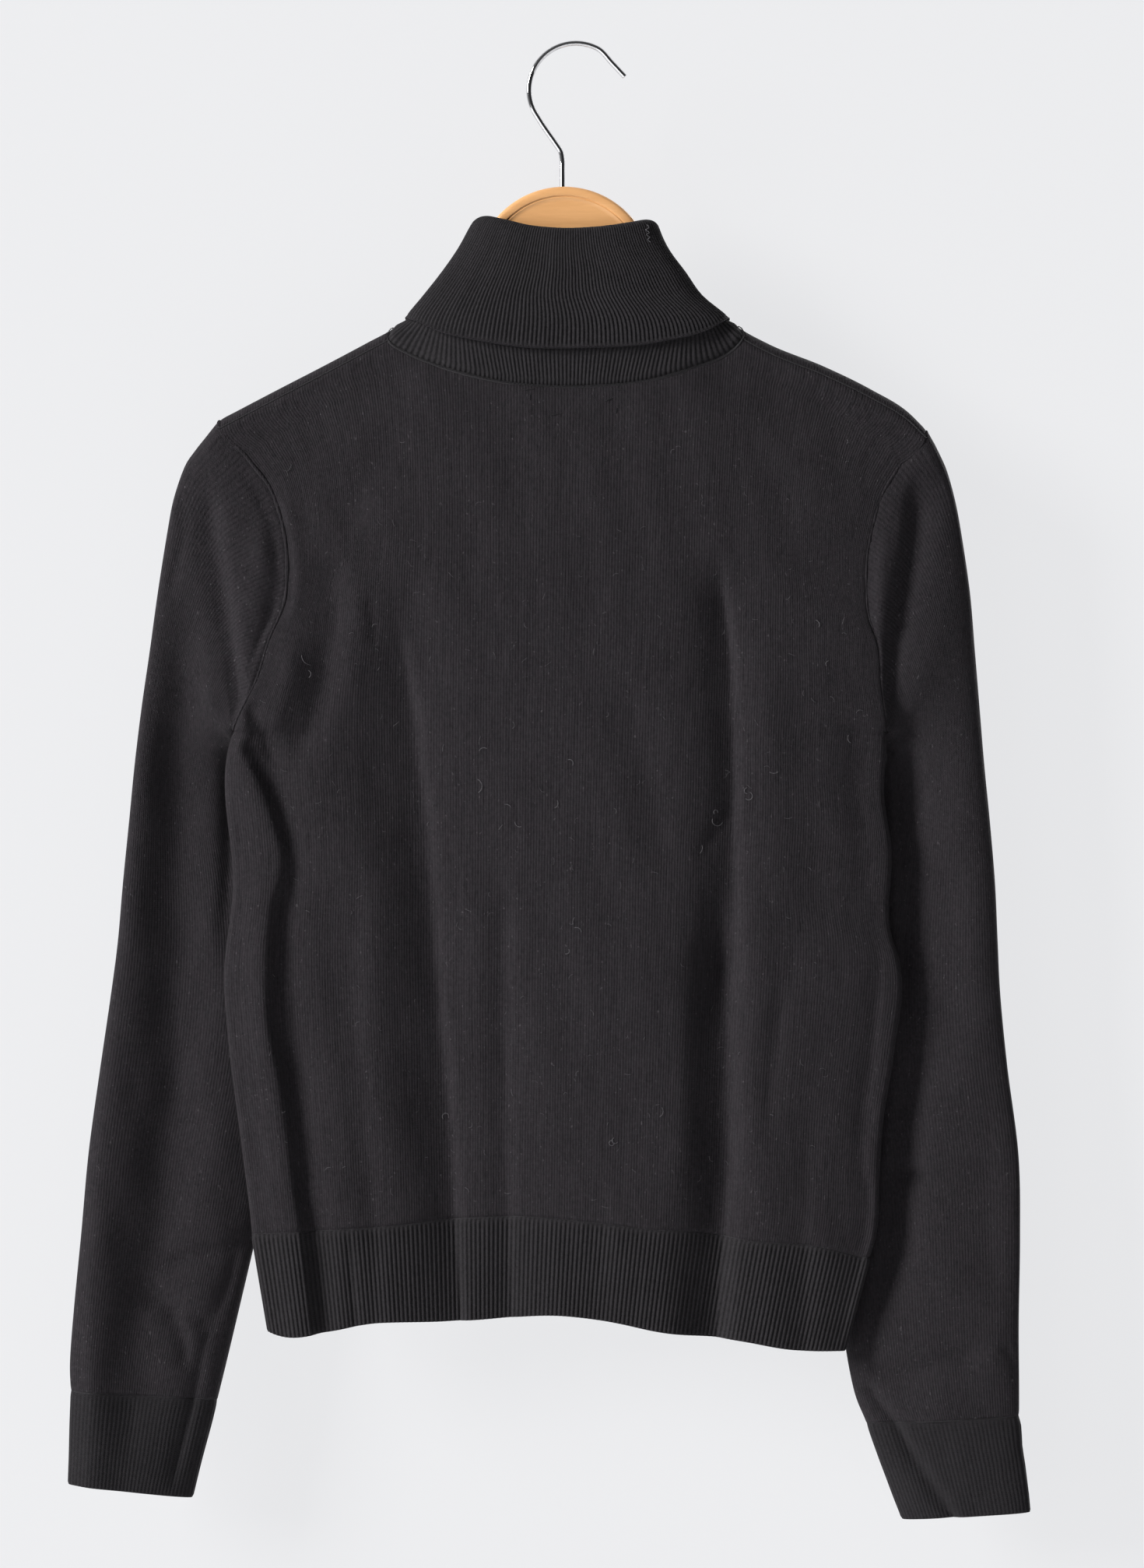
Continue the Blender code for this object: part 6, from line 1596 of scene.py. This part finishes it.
# A small zigzag of thread at the collar's upper right.
mend_z = np.array([-98.5, -100.2, -101.4, -103.0, -104.2, -105.6, -106.8, -108.2])
mend_x = np.array([40.6, 41.8, 40.2, 42.0, 40.6, 42.4, 41.2, 42.6])
places = np.linspace(272, 350, 400)
mend = []
for x, z in zip(mend_x, mend_z):
    face_line = collar_face(places, np.full(places.shape, z), -0.45)
    mend.append([np.interp(x, face_line[:, 0], face_line[:, axis]) for axis in range(3)])
dress(many_tubes("mending_stitch", [path_through(np.array(mend), 40)], [0.22], 5, fibre), None)

FLAT_SEAM_DEPTH = 0.85   # how far a hem's or cuff's seam thread lies below the cloth's outside
for which, face, grid, inward in (("back", -1, back_grid, back_in), ("front", 1, front_grid, front_in)):
    line = grid[0] + (0, 0, -SEAM_GAP / 2) + inward[0] * FLAT_SEAM_DEPTH
    line[:, 1] -= face * body_sink(face, grid[0])
    seam_thread(f"hem_seam_{which}", path_through(line[2:-2], 420), 0.55, 6)
for name in ("left", "right"):
    grid, inward = sleeves[name][2:]
    ring = grid[-1] - (0, 0, SEAM_GAP / 2)
    ring[:, 1] += sleeve_sink(-1 if name == "left" else 1, grid[-2:])[-1]
    ring = np.vstack([ring, ring[:1]])
    into = np.vstack([inward[-1], inward[-1][:1]])
    seam_thread(f"cuff_seam_{name}", path_through(ring + into * FLAT_SEAM_DEPTH, 300), 0.55, 6)
for name, places in (("left", slice(0, first)), ("right", slice(-first, None))):
    line = path_through(back_grid[-1][places] + back_in[-1][places] * 0.25, 260)
    seam_thread(f"shoulder_seam_{name}", line, 0.45, 6)

# ---------------------------------------------------------------- stage, light and camera
WALL_Y = 0.052           # place of the wall close behind the garment, half of its width, and its top
WALL_HALF = 3
WALL_TOP = 1.6
FLOOR_Z = -2.0
ROOM = 7.5               # from the middle of the studio to each of its far walls, and their top
FAR_TOP = 6.0
wall_paint = stage_material("wall_paint", (0.070, 0.070, 0.071), (0.080, 0.080, 0.081), 0.775, True)
floor_paint = stage_material("floor_paint", (0.50, 0.50, 0.51), (0.53, 0.53, 0.54), 0.30)
far_paint = stage_material("far_paint", (0.06, 0.06, 0.06), (0.08, 0.08, 0.08), 0.62)


def plane(name, corners, material):
    """A flat stage piece from four corners in metres."""
    mesh = bpy.data.meshes.new(name)
    mesh.from_pydata(corners, [], [(0, 1, 2, 3)])
    mesh.materials.append(material)
    piece = add_object(name, mesh)
    return piece


def upright(name, start, end, top, material):
    """A wall that stands on the floor between two places."""
    return plane(name, [(*start, FLOOR_Z), (*end, FLOOR_Z), (*end, top), (*start, top)], material)


# Pale walls all round the studio, which neither light nor shade the part.
NEAR_LEFT, NEAR_RIGHT, FAR_LEFT, FAR_RIGHT = (-ROOM, -ROOM), (ROOM, -ROOM), (-ROOM, ROOM), (ROOM, ROOM)
for name, start, end in (("far_front", NEAR_LEFT, NEAR_RIGHT), ("far_left", NEAR_LEFT, FAR_LEFT),
                         ("far_right", NEAR_RIGHT, FAR_RIGHT), ("far_back", FAR_LEFT, FAR_RIGHT)):
    wall = upright(name, start, end, FAR_TOP, far_paint)
    wall.visible_diffuse = wall.visible_glossy = wall.visible_shadow = wall.visible_transmission = False
# The near wall lets the rear light pass.
wall = upright("wall", (-WALL_HALF, WALL_Y), (WALL_HALF, WALL_Y), WALL_TOP, wall_paint)
wall.visible_shadow = False
plane("floor", [(*corner, FLOOR_Z) for corner in (NEAR_LEFT, NEAR_RIGHT, FAR_RIGHT, FAR_LEFT)],
      floor_paint)

LIT_PLACE = (0.0, 0.0, -0.42)
WARM_WHITE = (1.0, 0.995, 0.985)


def area_light(name, place, size, power, colour=WARM_WHITE):
    """A rectangular soft light that points at the garment's middle."""
    data = bpy.data.lights.new(name, "AREA")
    data.shape = "RECTANGLE"
    data.size, data.size_y = size
    data.energy = power
    data.color = colour
    light = add_object(name, data)
    light.location = place
    light.rotation_mode = "QUATERNION"
    light.rotation_quaternion = Vector(np.array(place) - np.array(LIT_PLACE)).to_track_quat("Z", "Y")


area_light("key", (-8.4, -4.5, 3.1), (2.7, 4.5), 1600)
area_light("rear_light", (4.4, 4.3, 2.2), (1.6, 2.8), 460)
area_light("fill", (-1.7, -3.3, -1.3), (1.2, 2.2), 13, (0.98, 0.99, 1.0))

world = bpy.data.worlds.new("soft_room")
world.use_nodes = True
room = Nodes(world.node_tree)
# The room is brighter on the left and behind the garment.
direction = room.node("TexCoord", {}, "Generated")
level = room.math("MULTIPLY_ADD", room.part(direction, 0), -0.10, 0.155)
level = room.math("MULTIPLY_ADD", room.part(direction, 1), 0.10, level)
room.put(world.node_tree.nodes["Background"].inputs, {"Color": (0.93, 0.94, 0.96), "Strength": level})
bpy.context.scene.world = world
bpy.context.scene.view_settings.view_transform = "Standard"

FRAME_HEIGHT = 0.856     # of the view, in the garment's own plane
DISTANCE = 3.0
camera_data = bpy.data.cameras.new("camera")
camera_data.sensor_width = 36
camera_data.lens = camera_data.sensor_width * DISTANCE / FRAME_HEIGHT
camera = add_object("camera", camera_data)
camera.location = (0.0, -DISTANCE, -0.4029)
camera.rotation_euler = (math.radians(90), 0, 0)
bpy.context.scene.camera = camera
